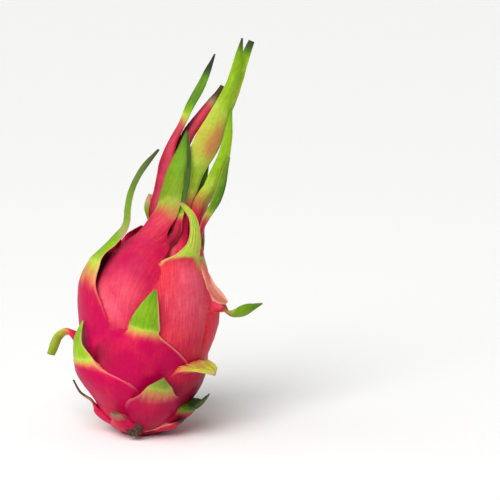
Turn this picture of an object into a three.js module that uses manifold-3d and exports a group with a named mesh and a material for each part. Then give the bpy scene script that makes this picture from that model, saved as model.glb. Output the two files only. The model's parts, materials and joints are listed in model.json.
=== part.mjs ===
// A whole dragon fruit (white-fleshed pitaya), standing on the flat spot at its stem end.
// Millimetres, +Z up, the front towards -Y. The origin is the centre of the flat spot.
//
// The fruit grew as one piece, so the model is one closed solid: an egg-shaped body, the
// leafy scales that grow out of its skin, and the stub of stem it was picked with.
// Every scale has a pad, which lies on the body and swells up towards its rim, and a
// blade, which leaves the skin at the rim and runs out to a point.
import * as THREE from "three";
import { mergeVertices } from "three/addons/utils/BufferGeometryUtils.js";
import Module from "manifold-3d";

const wasm = await Module();
wasm.setup();

// ---- Driving dimensions -------------------------------------------------------------

const BODY_RADIUS = 39; // at the widest place, under the scales
const WIDEST_Z = 62; // height of the widest place
const LOWER_HALF = 67; // half-axis below it, which the flat spot cuts short
const UPPER_HALF = 60; // half-axis above it, up to the crown
const SHOULDER_POWER = 0.8; // under 1 makes the shoulder below the crown fuller
const BASE_POWER = 1.15; // over 1 makes the stem end slimmer
const TOP_STATION = 178; // where the top ring lies, just short of the crown's middle
const BELLY_SHIFT = -1.5; // the belly's middle, sideways
const CROWN_SHIFT = 13; // the crown's middle, sideways
const CROWN_POWER = 6; // how late the middle bends over towards the crown
const BASE_SHIFT = -3.5; // the stem end's middle, sideways
const BASE_SHIFT_POWER = 4; // how near the stem end it bends that way

const BODY_SIDES = 40;
const BODY_RINGS = 24;
const PAD_ROWS = 5;
const SCALE_COLUMNS = 4;
const BLADE_ROW_MM = 12; // spacing of the rows along a blade
const PAD_SINK = 2.2; // how deep a scale's root goes into the body
const FOOT_SINK = 1.0; // how deep the outer face of a pad starts below the skin
const NARROWEST_PAD = 0.12; // a quarter wave widens the pad from its foot; where it starts
const WIDEST_PAD = 0.6; // and how far up the pad it ends, as a share of the pad's length
const EDGE_FALL = 0.55; // how much lower a pad's edges lie, as a share of its swell
const FALL_START = 0.4; // how far up a pad its own, smaller fall begins
const BELOW_RIM = 6; // where the blade's middle line starts, for it to leave the pad smoothly
const SETTLING = 0.3; // share of a blade over which the pad's cross-section fades out
const TWIST_RATE = 1.5; // a blade has its whole twist after 1 / this of its length
const BLADE_THICKNESS = 1.8; // in the middle, near the root
const TIP_THICKNESS = 1;
const EDGE_THICKNESS = 0.7;
const TIP_HALF_WIDTH = 0.5;
const ROOT_RUN = 5; // length over which a blade thins from its root

const STEM_ROOT = [-4, -8, 9]; // inside the body
const STEM_CUT = [-7, -25.3, 8]; // where it was cut off the plant
const STEM_RADIUS = 6;
const STEM_CUT_RADIUS = 4.9;
const STEM_SIDES = 12;

const GROUND = 60; // thickness of the block that cuts the flat spot
const GROUND_SIDE = 400;

// ---- The body -----------------------------------------------------------------------

const rad = THREE.MathUtils.degToRad;
const deg = THREE.MathUtils.radToDeg;
const clamp01 = (x) => THREE.MathUtils.clamp(x, 0, 1);
const smooth = (x) => THREE.MathUtils.smoothstep(x, 0, 1);
const mix = THREE.MathUtils.lerp;

// The middle of the body at a height.
function centreX(z) {
  const share = clamp01(z / (WIDEST_Z + UPPER_HALF));
  const belly = BELLY_SHIFT * Math.sin(Math.PI * share);
  const crown = CROWN_SHIFT * Math.pow(share, CROWN_POWER);
  const base = BASE_SHIFT * Math.pow(1 - share, BASE_SHIFT_POWER);
  return belly + crown + base;
}

// The distance of the skin from that middle.
function skinRadius(station) {
  const power = station < 90 ? BASE_POWER : SHOULDER_POWER;
  return BODY_RADIUS * Math.pow(Math.max(Math.sin(rad(station)), 0), power);
}

// A point of the skin. The azimuth is 0 at the front and 90 on the right; the station runs
// from 0 at the stem end through 90 at the widest place to 180 at the crown. In degrees.
function skin(azimuth, station) {
  const a = rad(azimuth);
  const s = rad(station);
  const half = station < 90 ? LOWER_HALF : UPPER_HALF;
  const z = WIDEST_Z - half * Math.cos(s);
  const r = skinRadius(station);
  return new THREE.Vector3(centreX(z) + r * Math.sin(a), -r * Math.cos(a), z);
}

// The directions of the skin there: up along it, across it (azimuth growing), and outwards.
function skinFrame(azimuth, station) {
  const step = 0.5;
  const up = skin(azimuth, station + step).sub(skin(azimuth, station - step)).normalize();
  const across = new THREE.Vector3(Math.cos(rad(azimuth)), Math.sin(rad(azimuth)), 0);
  const out = new THREE.Vector3().crossVectors(across, up).normalize();
  return { up, across, out };
}

// Length along the skin from the stem end to a station, and the station at a length.
const MERIDIAN = [0];
for (let s = 1; s <= 180; s++) {
  MERIDIAN.push(MERIDIAN[s - 1] + skin(180, s).distanceTo(skin(180, s - 1)));
}
function lengthAt(station) {
  const i = Math.min(Math.floor(station), 179);
  return mix(MERIDIAN[i], MERIDIAN[i + 1], station - i);
}
function stationAt(length) {
  let i = 0;
  while (i < 179 && MERIDIAN[i + 1] < length) i++;
  return i + clamp01((length - MERIDIAN[i]) / (MERIDIAN[i + 1] - MERIDIAN[i]));
}

// ---- Turning point lists into solids --------------------------------------------------

function geometryOf(points, triangles) {
  const geometry = new THREE.BufferGeometry();
  const coordinates = points.flatMap((p) => p.toArray());
  geometry.setAttribute("position", new THREE.Float32BufferAttribute(coordinates, 3));
  geometry.setIndex(triangles.flat());
  return geometry;
}

function solidOf(geometry) {
  const bare = geometry.index ? geometry.toNonIndexed() : geometry.clone();
  bare.deleteAttribute("normal");
  bare.deleteAttribute("uv");
  const merged = mergeVertices(bare, 1e-4);
  return new wasm.Manifold(
    new wasm.Mesh({
      numProp: 3,
      vertProperties: new Float32Array(merged.attributes.position.array),
      triVerts: new Uint32Array(merged.index.array),
    }),
  );
}

// A closed skin over rings of points, each ring with as many points as the others.
function loft(rings) {
  const sides = rings[0].length;
  const points = rings.flat();
  const triangles = [];
  for (let j = 0; j + 1 < rings.length; j++) {
    for (let i = 0; i < sides; i++) {
      const a = j * sides + i;
      const b = j * sides + ((i + 1) % sides);
      triangles.push([a, b, b + sides], [a, b + sides, a + sides]);
    }
  }
  const close = (ring, first, facesBack) => {
    const centre = ring.reduce((sum, p) => sum.add(p), new THREE.Vector3());
    points.push(centre.divideScalar(sides));
    for (let i = 0; i < sides; i++) {
      const pair = [first + ((i + 1) % sides), first + i];
      if (!facesBack) pair.reverse();
      triangles.push([points.length - 1, ...pair]);
    }
  };
  close(rings[0], 0, true);
  close(rings.at(-1), sides * (rings.length - 1), false);
  return geometryOf(points, triangles);
}

function bodyGeometry() {
  const flat = deg(Math.acos(WIDEST_Z / LOWER_HALF));
  const rings = [];
  for (let j = 0; j <= BODY_RINGS; j++) {
    const station = mix(flat, TOP_STATION, j / BODY_RINGS);
    const ring = [];
    for (let i = 0; i < BODY_SIDES; i++) {
      ring.push(skin((360 * i) / BODY_SIDES, station));
    }
    rings.push(ring);
  }
  return loft(rings);
}

// ---- The scales ----------------------------------------------------------------------

// A value along a list whose entries are evenly spaced from 0 to 1.
function along(list, x) {
  const f = clamp01(x) * (list.length - 1);
  const i = Math.min(Math.floor(f), list.length - 2);
  return mix(list[i], list[i + 1], f - i);
}

// The middle line of a blade, at even spacing: a smooth curve that passes the pad below the
// rim, then the rim, then the points of the blade. The part on the pad is left out.
function middleLine(points, rows) {
  const samples = 400;
  const curve = new THREE.CatmullRomCurve3(points, false, "centripetal");
  curve.arcLengthDivisions = samples;
  const lengths = curve.getLengths(samples);
  const whole = lengths[samples];
  const start = lengths[Math.round(samples / (points.length - 1))] / whole;
  const line = [];
  for (let j = 0; j <= rows; j++) {
    const u = mix(start, 1, j / rows);
    line.push({ at: curve.getPointAt(u), tangent: curve.getTangentAt(u).normalize() });
  }
  return { line, length: whole * (1 - start) };
}

// The points of a blade that is given by how far it stands off the skin, in degrees, at
// its root, middle and tip, and how far it leans to one side.
function bladePath(rim, { up, across, out }, { length, lift, sway = 0 }) {
  const steps = 4;
  const path = [];
  const at = rim.clone();
  for (let i = 1; i <= steps; i++) {
    const off = rad(along(lift, (i - 0.5) / steps));
    const side = rad(sway) * ((i - 0.5) / steps);
    at.addScaledVector(up, (Math.cos(off) * Math.cos(side) * length) / steps);
    at.addScaledVector(out, (Math.sin(off) * Math.cos(side) * length) / steps);
    at.addScaledVector(across, (Math.sin(side) * length) / steps);
    path.push(at.clone());
  }
  return path;
}

// One direction leant towards another by an angle.
function lean(a, b, angle) {
  return a.clone().multiplyScalar(Math.cos(angle)).addScaledVector(b, Math.sin(angle));
}

// The pad's half-width between its foot, at v = 0, and its rim, at v = 1.
function padHalf(v, { pad, rimHalf, shoulder = 0.45, taper = WIDEST_PAD }) {
  const belly = pad * Math.sin((Math.PI / 2) * clamp01(NARROWEST_PAD + v / taper));
  return mix(belly, rimHalf, smooth((v - shoulder) / (1 - shoulder)));
}

// The height of the pad's outer face above the skin, v from foot to rim and u across. An
// edge that stands up does so near the rim only; one that sinks in does so all along.
function padHeight(v, u, { swell = 3, rise = 1, fall = [EDGE_FALL, EDGE_FALL] }) {
  const given = fall[u < 0 ? 0 : 1];
  const less = Math.max(given, mix(EDGE_FALL, given, smooth((v - FALL_START) / (1 - FALL_START))));
  const risen = Math.pow(smooth(v), rise);
  return swell * risen * (1 - less * u * u) - FOOT_SINK * (1 - smooth(v));
}

function scaleGeometry(scale) {
  const { azimuth, foot, rim, roll = 0, rimHalf, widths, cup = 0.5, twist = 0 } = scale;
  const { swell = 3, wall = swell + PAD_SINK, thick = BLADE_THICKNESS } = scale;
  const { tip = TIP_HALF_WIDTH } = scale;
  const turn = rad(roll);
  const rimLength = lengthAt(rim);
  const padLength = rimLength - lengthAt(foot);

  // A point at a distance below the rim and to one side of the pad's middle.
  const onPad = (below, side, height) => {
    const station = stationAt(rimLength - below * Math.cos(turn) - side * Math.sin(turn));
    const shift = side * Math.cos(turn) - below * Math.sin(turn);
    const turned = azimuth + deg(shift / skinRadius(station));
    return skin(turned, station).addScaledVector(skinFrame(turned, station).out, height);
  };

  const columns = [];
  for (let i = 0; i <= SCALE_COLUMNS; i++) {
    columns.push((2 * i) / SCALE_COLUMNS - 1);
  }

  // The pad's rings: the outer face from left to right, and the inner face back again.
  const rings = [];
  for (let j = 0; j < PAD_ROWS; j++) {
    const v = j / PAD_ROWS;
    const half = padHalf(v, scale);
    const below = padLength * (1 - v);
    const depth = mix(swell + PAD_SINK, wall, v);
    const face = (height) => columns.map((u) => onPad(below, u * half, height(u)));
    const outer = face((u) => padHeight(v, u, scale));
    const inner = face((u) => Math.max(-PAD_SINK, padHeight(v, u, scale) - depth));
    rings.push([...outer, ...inner.reverse()]);
  }

  const rimPoint = onPad(0, 0, swell);
  const frame = skinFrame(azimuth, rim);
  const rolled = {
    up: lean(frame.up, frame.across, turn),
    across: lean(frame.across, frame.up, -turn),
    out: frame.out,
  };
  const given = scale.path?.map((p) => new THREE.Vector3(...p));
  const path = given ?? bladePath(rimPoint, rolled, scale);
  const rows = Math.max(4, Math.round(path.at(-1).distanceTo(rimPoint) / BLADE_ROW_MM) + 2);
  const { line, length } = middleLine([onPad(BELOW_RIM, 0, swell), rimPoint, ...path], rows);

  // The blade's rings. At its root, settle is how far the rim lies from a plain arc.
  const across = rolled.across.clone();
  let settle = [];
  line.forEach(({ at, tangent }, j) => {
    const s = j / rows;
    across.addScaledVector(tangent, -across.dot(tangent)).normalize();
    const out = new THREE.Vector3().crossVectors(across, tangent).normalize();
    const angle = rad(twist) * smooth(s * TWIST_RATE);
    const side = lean(across, out, -angle);
    const face = lean(out, across, angle);
    const half = along([rimHalf, ...widths, tip], s);
    const radius = half / cup;
    const arc = (u) => {
      const sideways = side.clone().multiplyScalar(radius * Math.sin(u * cup));
      return sideways.addScaledVector(face, radius * (Math.cos(u * cup) - 1)).add(at);
    };
    if (j === 0) {
      settle = columns.map((u) => onPad(0, u * rimHalf, padHeight(1, u, scale)).sub(arc(u)));
    }
    const middle = mix(wall, mix(thick, TIP_THICKNESS, s), smooth((s * length) / ROOT_RUN));
    const fade = 1 - smooth(s / SETTLING);
    const outer = columns.map((u, i) => arc(u).addScaledVector(settle[i], fade));
    const inner = columns.map((u, i) => {
      const inwards = lean(face, side, u * cup);
      const thickness = EDGE_THICKNESS + (middle - EDGE_THICKNESS) * (1 - u * u);
      return outer[i].clone().addScaledVector(inwards, -thickness);
    });
    rings.push([...outer, ...inner.reverse()]);
  });
  return loft(rings);
}

// Every scale of the front and the crown: where its pad sits on the body and how wide it is
// there, and its blade. Azimuths, stations, roll and twist are in degrees, the rest is in
// millimetres. widths are the blade's half-widths between rim and tip, and tip is the one
// at the tip. fall is how much lower the left and the right edge of the pad lie, and rise,
// over 1, lets the pad swell later. A blade is given by its points, or by its length, how
// far it stands off the skin at its root, middle and tip, and how far it leans sideways.
const SCALES = [
  // -- the crown, from the front round by the right to the back
  // the broad leaf of the front, its neck coral and its blade green
  { azimuth: -33, foot: 84, rim: 152, pad: 31, rimHalf: 18, swell: 7.5, fall: [0.9, 0.6], cup: 0.7,
    twist: 10,
    path: [[11.3, -12, 138], [14.5, -8, 149], [17.6, -5, 161], [21.4, -2, 172], [24.7, 0, 184]],
    widths: [12.4, 10.5, 9.6, 8.9, 8.2, 7.3, 6.2, 4.9, 3] },
  // a narrow one pressed against it, dark where it is free
  { azimuth: 8, foot: 118, rim: 150, pad: 8, rimHalf: 4, swell: 3, cup: 0.5,
    path: [[18.6, -17, 125.6], [19.6, -14, 132.3], [21.5, -11, 140.2], [24.4, -9, 151], [26, -8, 164],
      [26.2, -7, 173], [25.6, -5.5, 183]],
    widths: [3.4, 3, 2.6, 2.2, 1.8, 1.6, 1.4] },
  // the short red leaf behind it, with a shrivelled tip
  { azimuth: 22, foot: 125, rim: 160, pad: 10, rimHalf: 6, swell: 2, cup: 0.6, tip: 1.6,
    path: [[18.6, 5, 138], [21.6, 7, 171], [26, 7, 181], [34, 7, 192], [41.6, 7, 201.6],
      [46.3, 7, 209.6]],
    widths: [4.4, 4, 4.2, 5, 5.4, 4.6, 4, 3.6, 3.2] },
  // the tallest leaf
  { azimuth: 40, foot: 115, rim: 154, pad: 12, rimHalf: 5, swell: 3, cup: 0.5,
    path: [[25.2, -5, 136], [27, -3.5, 146.5], [31.8, -3, 163.5], [38.7, -2, 178], [44.6, 0, 192],
      [53.2, 4, 213], [58, 8, 238]],
    widths: [4.6, 4.4, 5, 6.4, 8.8, 9.8, 8.2, 6.2, 5, 4.2, 2.9] },
  // the leaf of the right, light green
  { azimuth: 75, foot: 115, rim: 150, pad: 14, rimHalf: 9, swell: 3, cup: 0.5, twist: -50,
    path: [[34, 1, 139], [40.5, 1, 149], [44.5, 1, 160], [48, 1, 172], [50, 2, 184], [51.5, 3, 197]],
    widths: [8, 6.6, 6, 3.8, 2.6] },
  // the dark strap outside it
  { azimuth: 84, foot: 116, rim: 148, pad: 13, rimHalf: 7, swell: 2.5, cup: 0.4, twist: -45,
    path: [[35.4, 1, 127], [39.2, 0, 134.8], [43, -1, 142.6], [46, -1, 151.7], [48.2, 0, 160.8],
      [50.2, 1, 167.5]],
    widths: [4.6, 4, 3.6, 3.4, 3, 2.2] },
  // the blunt one behind the tallest, dark at its foot
  { azimuth: 60, foot: 140, rim: 166, pad: 8, rimHalf: 5, swell: 2, cup: 0.5, twist: -40, tip: 1.9,
    path: [[25.3, 1, 130], [29.4, 4, 140.5], [33, 5, 151], [34.6, 6, 160], [36.1, 7.5, 170],
      [40.9, 9, 183.7], [48.1, 10, 197.4], [54, 11, 211.7], [57.3, 11.5, 221], [61.2, 12, 231],
      [63.3, 12, 236]],
    widths: [5, 4.6, 4.2, 3.4, 3, 4, 4.4, 4.6, 4.4, 3.8, 2.8] },
  // the long one of the left, red up to its last third
  { azimuth: -172, foot: 125, rim: 158, pad: 12, rimHalf: 7, swell: 3, cup: 0.6, twist: -20,
    path: [[5.1, 10, 134], [8.9, 9, 147], [12.4, 7.5, 162], [14, 7, 169], [17, 6, 177.5],
      [22.2, 5.5, 187.7], [26.5, 5, 197.3], [31.3, 5, 205.7], [35.6, 5, 214.6], [41.7, 5, 228.8]],
    widths: [4, 4.2, 4.6, 4.9, 2.9, 2.2, 2.7, 3, 2.2] },
  // a small green one at its foot
  { azimuth: -176, foot: 120, rim: 152, pad: 13, rimHalf: 6, swell: 3, cup: 0.5, twist: -40, tip: 1.5,
    path: [[0.5, 18, 135], [2.4, 18, 143]],
    widths: [4, 3, 2.6] },
  // a dusky red one between it and the flap of the left
  { azimuth: -116, foot: 92, rim: 139, pad: 22, rimHalf: 11, swell: 5, cup: 0.5, length: 9,
    lift: [4, -4, -10],
    widths: [7.6, 5] },
  // and another that fills the shoulder
  { azimuth: -146, foot: 100, rim: 146, pad: 20, rimHalf: 11, swell: 8, cup: 0.5, length: 12,
    lift: [0, -8, -14], sway: 20,
    widths: [8, 5] },
  // -- the front, from the shoulder to the belly
  // the flap of the left, standing off the body, its tip a thin green strand
  { azimuth: -78, foot: 72, rim: 132, pad: 33, rimHalf: 15, swell: 9.2, rise: 2, wall: 3.5,
    fall: [0.55, -0.1], cup: 0.7, twist: 62, tip: 0.8,
    path: [[-28.6, -8, 112.6], [-18.8, -8, 121], [-12.3, -8, 128.3], [-10.8, -8, 138], [-8.2, -8, 149],
      [-2, -6, 161], [8.2, -3, 173]],
    widths: [8.4, 5, 3.2, 2.4, 2.2, 2.1, 1.9] },
  // the coral one right of the middle, with a bright hooked tip
  { azimuth: 44, foot: 56, rim: 138, pad: 30.6, rimHalf: 19, swell: 5, shoulder: 0.62,
    fall: [0.5, 0.55], cup: 0.5,
    path: [[29, -26, 112], [30.4, -25.5, 120], [30.8, -24.5, 128], [29, -24, 136], [25, -24, 141.5],
      [21, -24, 145]],
    widths: [11.4, 7.8, 5.8, 4.8, 4, 3.4, 2.9, 2.4, 1.6] },
  // the one right of it, which lies on its side
  { azimuth: 74, foot: 84, rim: 114, roll: 80, pad: 18, rimHalf: 14, swell: 4.5, rise: 2,
    fall: [1, 0.8], cup: 0.5, tip: 1,
    path: [[42, -11, 82], [46, -10, 78.5]],
    widths: [9.5, 5.5] },
  // and its pale edge, folded over
  { azimuth: 62, foot: 131, rim: 139, roll: 150, pad: 5, rimHalf: 4, swell: 4.5, cup: 0.5, twist: 50,
    tip: 1.2,
    path: [[36.6, -16, 101], [38.2, -15, 94.3], [40.4, -13.5, 88.9], [43.8, -11.5, 84.6],
      [48.8, -9, 81.4]],
    widths: [2.8, 2.8, 3.4, 4.4, 4] },
  // the green triangle in the middle of the front
  { azimuth: 1, foot: 50, rim: 97, roll: 11, pad: 34, rimHalf: 10, swell: 6, shoulder: 0.7,
    fall: [1.15, 0.5], cup: 0.4, length: 27.5, lift: [6, 0, 4], sway: 6,
    widths: [9, 6.8, 4.2] },
  // its neighbour on the left
  { azimuth: -57, foot: 36, rim: 77, pad: 34, rimHalf: 13, swell: 6.5, rise: 1.8, shoulder: 0.75,
    fall: [0.25, 0.6], cup: 0.5,
    path: [[-41.5, -21.5, 58], [-40.3, -20.5, 65], [-36.8, -20, 73]],
    widths: [9.6, 6.6, 4] },
  // the strap that hangs out on the left
  { azimuth: -106, foot: 50, rim: 82, pad: 22, rimHalf: 10, swell: 5, cup: 0.4, twist: 60, thick: 5,
    tip: 2.8,
    path: [[-50, 14, 57], [-55, 14, 54.8], [-57.5, 14, 49], [-59.5, 14, 44]],
    widths: [6.4, 4.4, 3.4, 3.3, 3.2] },
  // the one folded down at the lower right, which shows its inner face
  { azimuth: 51, foot: 40, rim: 74.5, pad: 26, rimHalf: 15, swell: 5, shoulder: 0.6, cup: 0.4,
    length: 14.2, lift: [45, 88, 96], sway: 4,
    widths: [12, 8] },
  // the green strip that points right
  { azimuth: 90, foot: 62, rim: 103, pad: 18, rimHalf: 14, swell: 7, rise: 1.5, shoulder: 0.3,
    cup: 0.4, twist: -50,
    path: [[47.5, 1, 74], [53, 2, 71.5], [61, 3, 74.5], [70, 4, 78]],
    widths: [9, 7, 5.6, 4.6, 2.6] },
  // -- round the stem end
  // the tan and green triangle low in the middle
  { azimuth: 14, foot: 18, rim: 58, pad: 17, rimHalf: 16, swell: 6, shoulder: 0.6, fall: [0.85, 0.85],
    taper: 1.0, cup: 0.5, length: 23, lift: [14, 6, 6], sway: 11,
    widths: [11.6, 7.4] },
  // the small dried one left of the stem
  { azimuth: -26, foot: 20, rim: 46, pad: 13, rimHalf: 5.5, swell: 5.6, cup: 0.5, length: 8,
    lift: [0, 0, 0], tip: 2.6,
    widths: [5, 4.4] },
  // the one right of it, black at its tip
  { azimuth: 50, foot: 24, rim: 38, pad: 14, rimHalf: 9, swell: 4.4, cup: 0.5, length: 12,
    lift: [20, 10, 10],
    widths: [6, 3] },
  // a thin dried strand on the left
  { azimuth: -78, foot: 24, rim: 46, pad: 14, rimHalf: 6, swell: 4, cup: 0.4,
    path: [[-33, -8, 19.5], [-40.5, -8, 26], [-44.5, -8, 33.5]],
    widths: [3.4, 1.8, 1.2, 0.9] },
  // and a dark green one at the lower right
  { azimuth: 70, foot: 26, rim: 50, pad: 20, rimHalf: 11, swell: 6, cup: 0.4, length: 13,
    lift: [30, 10, 0], tip: 4,
    widths: [10, 8.4] },
];

// The scales of the back stand in rings: each has its station, the azimuths between which
// its scales are spread evenly, and their sizes.
const BACK_RINGS = [
  { rim: 136, from: 132, to: 188, count: 3, foot: 84, pad: 24, rimHalf: 11, swell: 6, length: 34 },
  { rim: 104, from: 152, to: 212, count: 2, foot: 56, pad: 28, rimHalf: 11, swell: 6, length: 32 },
  { rim: 76, from: 120, to: 218, count: 3, foot: 38, pad: 24, rimHalf: 10, swell: 5, length: 24 },
  { rim: 50, from: 132, to: 236, count: 3, foot: 24, pad: 19, rimHalf: 9, swell: 4, length: 16 },
];
const BACK_SHAPE = { shoulder: 0.65, cup: 0.5 };
const BACK_WIDTHS = [0.7, 0.46, 0.26]; // of the blade, as shares of the rim's

// Small steps of the counters keep the scales of the back from being copies of one another.
function backScales() {
  const made = [];
  BACK_RINGS.forEach(({ from, to, count, ...sizes }, row) => {
    for (let i = 0; i < count; i++) {
      const rootLift = 10 + 6 * ((i + row) % 2);
      const tipLift = 34 - 10 * ((i + row) % 3);
      made.push({
        ...sizes,
        ...BACK_SHAPE,
        azimuth: mix(from, to, i / (count - 1)),
        lift: [rootLift, 18, tipLift],
        sway: 8 * ((i + row) % 3) - 8,
        widths: BACK_WIDTHS.map((share) => share * sizes.rimHalf),
      });
    }
  });
  return made;
}

// ---- The stub of stem -------------------------------------------------------------------

function stemGeometry() {
  const root = new THREE.Vector3(...STEM_ROOT);
  const cut = new THREE.Vector3(...STEM_CUT);
  const length = cut.distanceTo(root);
  const direction = cut.clone().sub(root).normalize();
  const turned = new THREE.Quaternion().setFromUnitVectors(new THREE.Vector3(0, 1, 0), direction);
  const middle = root.clone().lerp(cut, 0.5);
  const stub = new THREE.CylinderGeometry(STEM_CUT_RADIUS, STEM_RADIUS, length, STEM_SIDES);
  return stub.applyQuaternion(turned).translate(middle.x, middle.y, middle.z);
}

// ---- Putting it together ---------------------------------------------------------------

let fruit = solidOf(bodyGeometry());
for (const scale of [...SCALES, ...backScales()]) {
  fruit = fruit.add(solidOf(scaleGeometry(scale)));
}
fruit = fruit.add(solidOf(stemGeometry()));

const ground = new THREE.BoxGeometry(GROUND_SIDE, GROUND_SIDE, GROUND);
ground.translate(0, 0, -GROUND / 2);
fruit = fruit.subtract(solidOf(ground));

const { vertProperties, triVerts } = fruit.getMesh();
const geometry = new THREE.BufferGeometry();
geometry.setAttribute("position", new THREE.BufferAttribute(vertProperties, 3));
geometry.setIndex(new THREE.BufferAttribute(triVerts, 1));
geometry.computeVertexNormals();

const redSkin = new THREE.MeshStandardMaterial({ color: 0xd81b52, roughness: 0.42, metalness: 0 });
const mesh = new THREE.Mesh(geometry, redSkin);
mesh.name = "dragon_fruit";

const part = new THREE.Group();
part.add(mesh);
export default part;
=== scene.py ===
# %% [markdown]
# # A dragon fruit
# A pitaya stands on the flat spot at its stem end. It is one grown piece: an egg-shaped
# body, leafy scales that swell out of its skin and end in long tips, and the stub of stem
# that it was picked with. The scales are what makes it a dragon fruit, so most of this
# lesson is about one scale, and a list that places each of them.
#
# The imported part is loaded first and stays as it is.

# %% Load the part
import json
import math
from functools import partial
import bmesh
import bpy
import numpy as np
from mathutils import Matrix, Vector

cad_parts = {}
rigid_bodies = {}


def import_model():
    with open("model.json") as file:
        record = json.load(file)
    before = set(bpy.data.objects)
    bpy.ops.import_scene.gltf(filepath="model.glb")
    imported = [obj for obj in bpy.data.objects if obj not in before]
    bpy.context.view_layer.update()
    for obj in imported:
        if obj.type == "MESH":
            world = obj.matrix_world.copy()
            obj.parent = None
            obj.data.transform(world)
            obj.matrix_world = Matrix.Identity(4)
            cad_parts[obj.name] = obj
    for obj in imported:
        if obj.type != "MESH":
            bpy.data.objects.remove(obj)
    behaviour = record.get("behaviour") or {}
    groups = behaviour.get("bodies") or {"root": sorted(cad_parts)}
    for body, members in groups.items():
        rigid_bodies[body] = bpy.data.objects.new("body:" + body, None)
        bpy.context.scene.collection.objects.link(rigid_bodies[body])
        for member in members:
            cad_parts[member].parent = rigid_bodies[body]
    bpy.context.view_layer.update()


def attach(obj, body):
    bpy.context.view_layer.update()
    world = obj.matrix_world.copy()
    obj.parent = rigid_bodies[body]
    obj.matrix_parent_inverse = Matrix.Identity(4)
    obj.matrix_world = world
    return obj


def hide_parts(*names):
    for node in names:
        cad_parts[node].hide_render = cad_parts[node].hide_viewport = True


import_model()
MM = 0.001


# %% [markdown]
# ## Three small helpers
# Everything in a node tree is a node with settings and links, so one function adds any of
# them. Its values are a dictionary by socket name, or a list that fills the sockets in use
# from the top down: for a map range the value, the two ends it comes from and the two it
# goes to, and for a mix the share and both colours. A node among the values stands for its
# first output. Many kinds have an operation, which may follow the values.
#
# Colours are given as sRGB, as on a screen, while a shader works in linear light, so
# a second function turns the first into the second. The third puts a new object into the
# scene.

# %% Add a node, turn a colour linear, add an object
MATH = "ShaderNodeMath"
VECTOR_MATH = "ShaderNodeVectorMath"
MAP_RANGE = "ShaderNodeMapRange"
MIX = "ShaderNodeMix"
NOISE = "ShaderNodeTexNoise"
JOIN_XYZ = "ShaderNodeCombineXYZ"
SPLIT_XYZ = "ShaderNodeSeparateXYZ"
SET_POSITION = "GeometryNodeSetPosition"
STORE = "GeometryNodeStoreNamedAttribute"


def in_use(sockets):
    return [socket for socket in sockets if socket.enabled]


def node(tree, kind, values=(), operation=None, **settings):
    made = tree.nodes.new(kind)
    if operation:
        made.operation = operation
    for name, setting in settings.items():
        setattr(made, name, setting)
    if isinstance(values, dict):
        filled = [(made.inputs[name], value) for name, value in values.items()]
    else:
        filled = zip(in_use(made.inputs), values)
    for socket, value in filled:
        if isinstance(value, bpy.types.Node):
            value = in_use(value.outputs)[0]
        if isinstance(value, bpy.types.NodeSocket):
            tree.links.new(value, socket)
        else:
            socket.default_value = value
    return made


def linear(hex_colour):
    shares = [int(hex_colour[i : i + 2], 16) / 255 for i in (1, 3, 5)]
    light = [s / 12.92 if s <= 0.04045 else ((s + 0.055) / 1.055) ** 2.4 for s in shares]
    return (*light, 1.0)


def new_object(name, data):
    made = bpy.data.objects.new(name, data)
    bpy.context.collection.objects.link(made)
    return made


# %% [markdown]
# ## The camera
# The fruit is seen from a little above, through a long lens, as on a product table.

# %% Place the camera
CAMERA_ELEVATION = math.radians(10)
CAMERA_DISTANCE = 1.2
CAMERA_AIM = Vector((0.0624, 0, 0.1118))
CAMERA_LENS = 144

camera_data = bpy.data.cameras.new("camera")
camera_data.lens = CAMERA_LENS
camera = new_object("camera", camera_data)
back = Vector((0, -math.cos(CAMERA_ELEVATION), math.sin(CAMERA_ELEVATION)))
camera.location = CAMERA_AIM + back * CAMERA_DISTANCE
camera.rotation_euler = back.to_track_quat("Z", "Y").to_euler()
bpy.context.scene.camera = camera
print("camera at", [round(x, 3) for x in camera.location])


# %% [markdown]
# ## The skin as a rule
# The body is nearly a solid of revolution: an ellipse below its widest place, a fuller
# one above it, and a centre line that bends over to the crown. A place on it is named by
# an azimuth (0 at the front, 90 on the right) and a station (0 at the stem end, 90 at the
# widest place, 180 at the crown). These functions answer where such a place is and which
# way the skin faces there, in millimetres, because every scale has to sit on it.

# %% Where the skin is
BODY_RADIUS = 39
WIDEST_Z = 62
LOWER_HALF = 67
UPPER_HALF = 60
SHOULDER_POWER = 0.8
BASE_POWER = 1.15
BELLY_SHIFT = -1.5
CROWN_SHIFT = 13
CROWN_POWER = 6
BASE_SHIFT = -3.5
BASE_SHIFT_POWER = 4


def clamp01(x):
    return min(max(x, 0.0), 1.0)


def smooth(x):
    x = clamp01(x)
    return x * x * (3 - 2 * x)


def mix(a, b, share):
    return a + (b - a) * share


def centre_x(z):
    share = clamp01(z / (WIDEST_Z + UPPER_HALF))
    base = BASE_SHIFT * (1 - share) ** BASE_SHIFT_POWER
    return BELLY_SHIFT * math.sin(math.pi * share) + CROWN_SHIFT * share**CROWN_POWER + base


def skin_radius(station):
    power = BASE_POWER if station < 90 else SHOULDER_POWER
    return BODY_RADIUS * max(math.sin(math.radians(station)), 0) ** power


def skin(azimuth, station):
    turn = math.radians(azimuth)
    half = LOWER_HALF if station < 90 else UPPER_HALF
    z = WIDEST_Z - half * math.cos(math.radians(station))
    r = skin_radius(station)
    return Vector((centre_x(z) + r * math.sin(turn), -r * math.cos(turn), z))


def skin_frame(azimuth, station):
    step = 0.5
    up = (skin(azimuth, station + step) - skin(azimuth, station - step)).normalized()
    across = Vector((math.cos(math.radians(azimuth)), math.sin(math.radians(azimuth)), 0))
    return up, across, across.cross(up).normalized()


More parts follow.
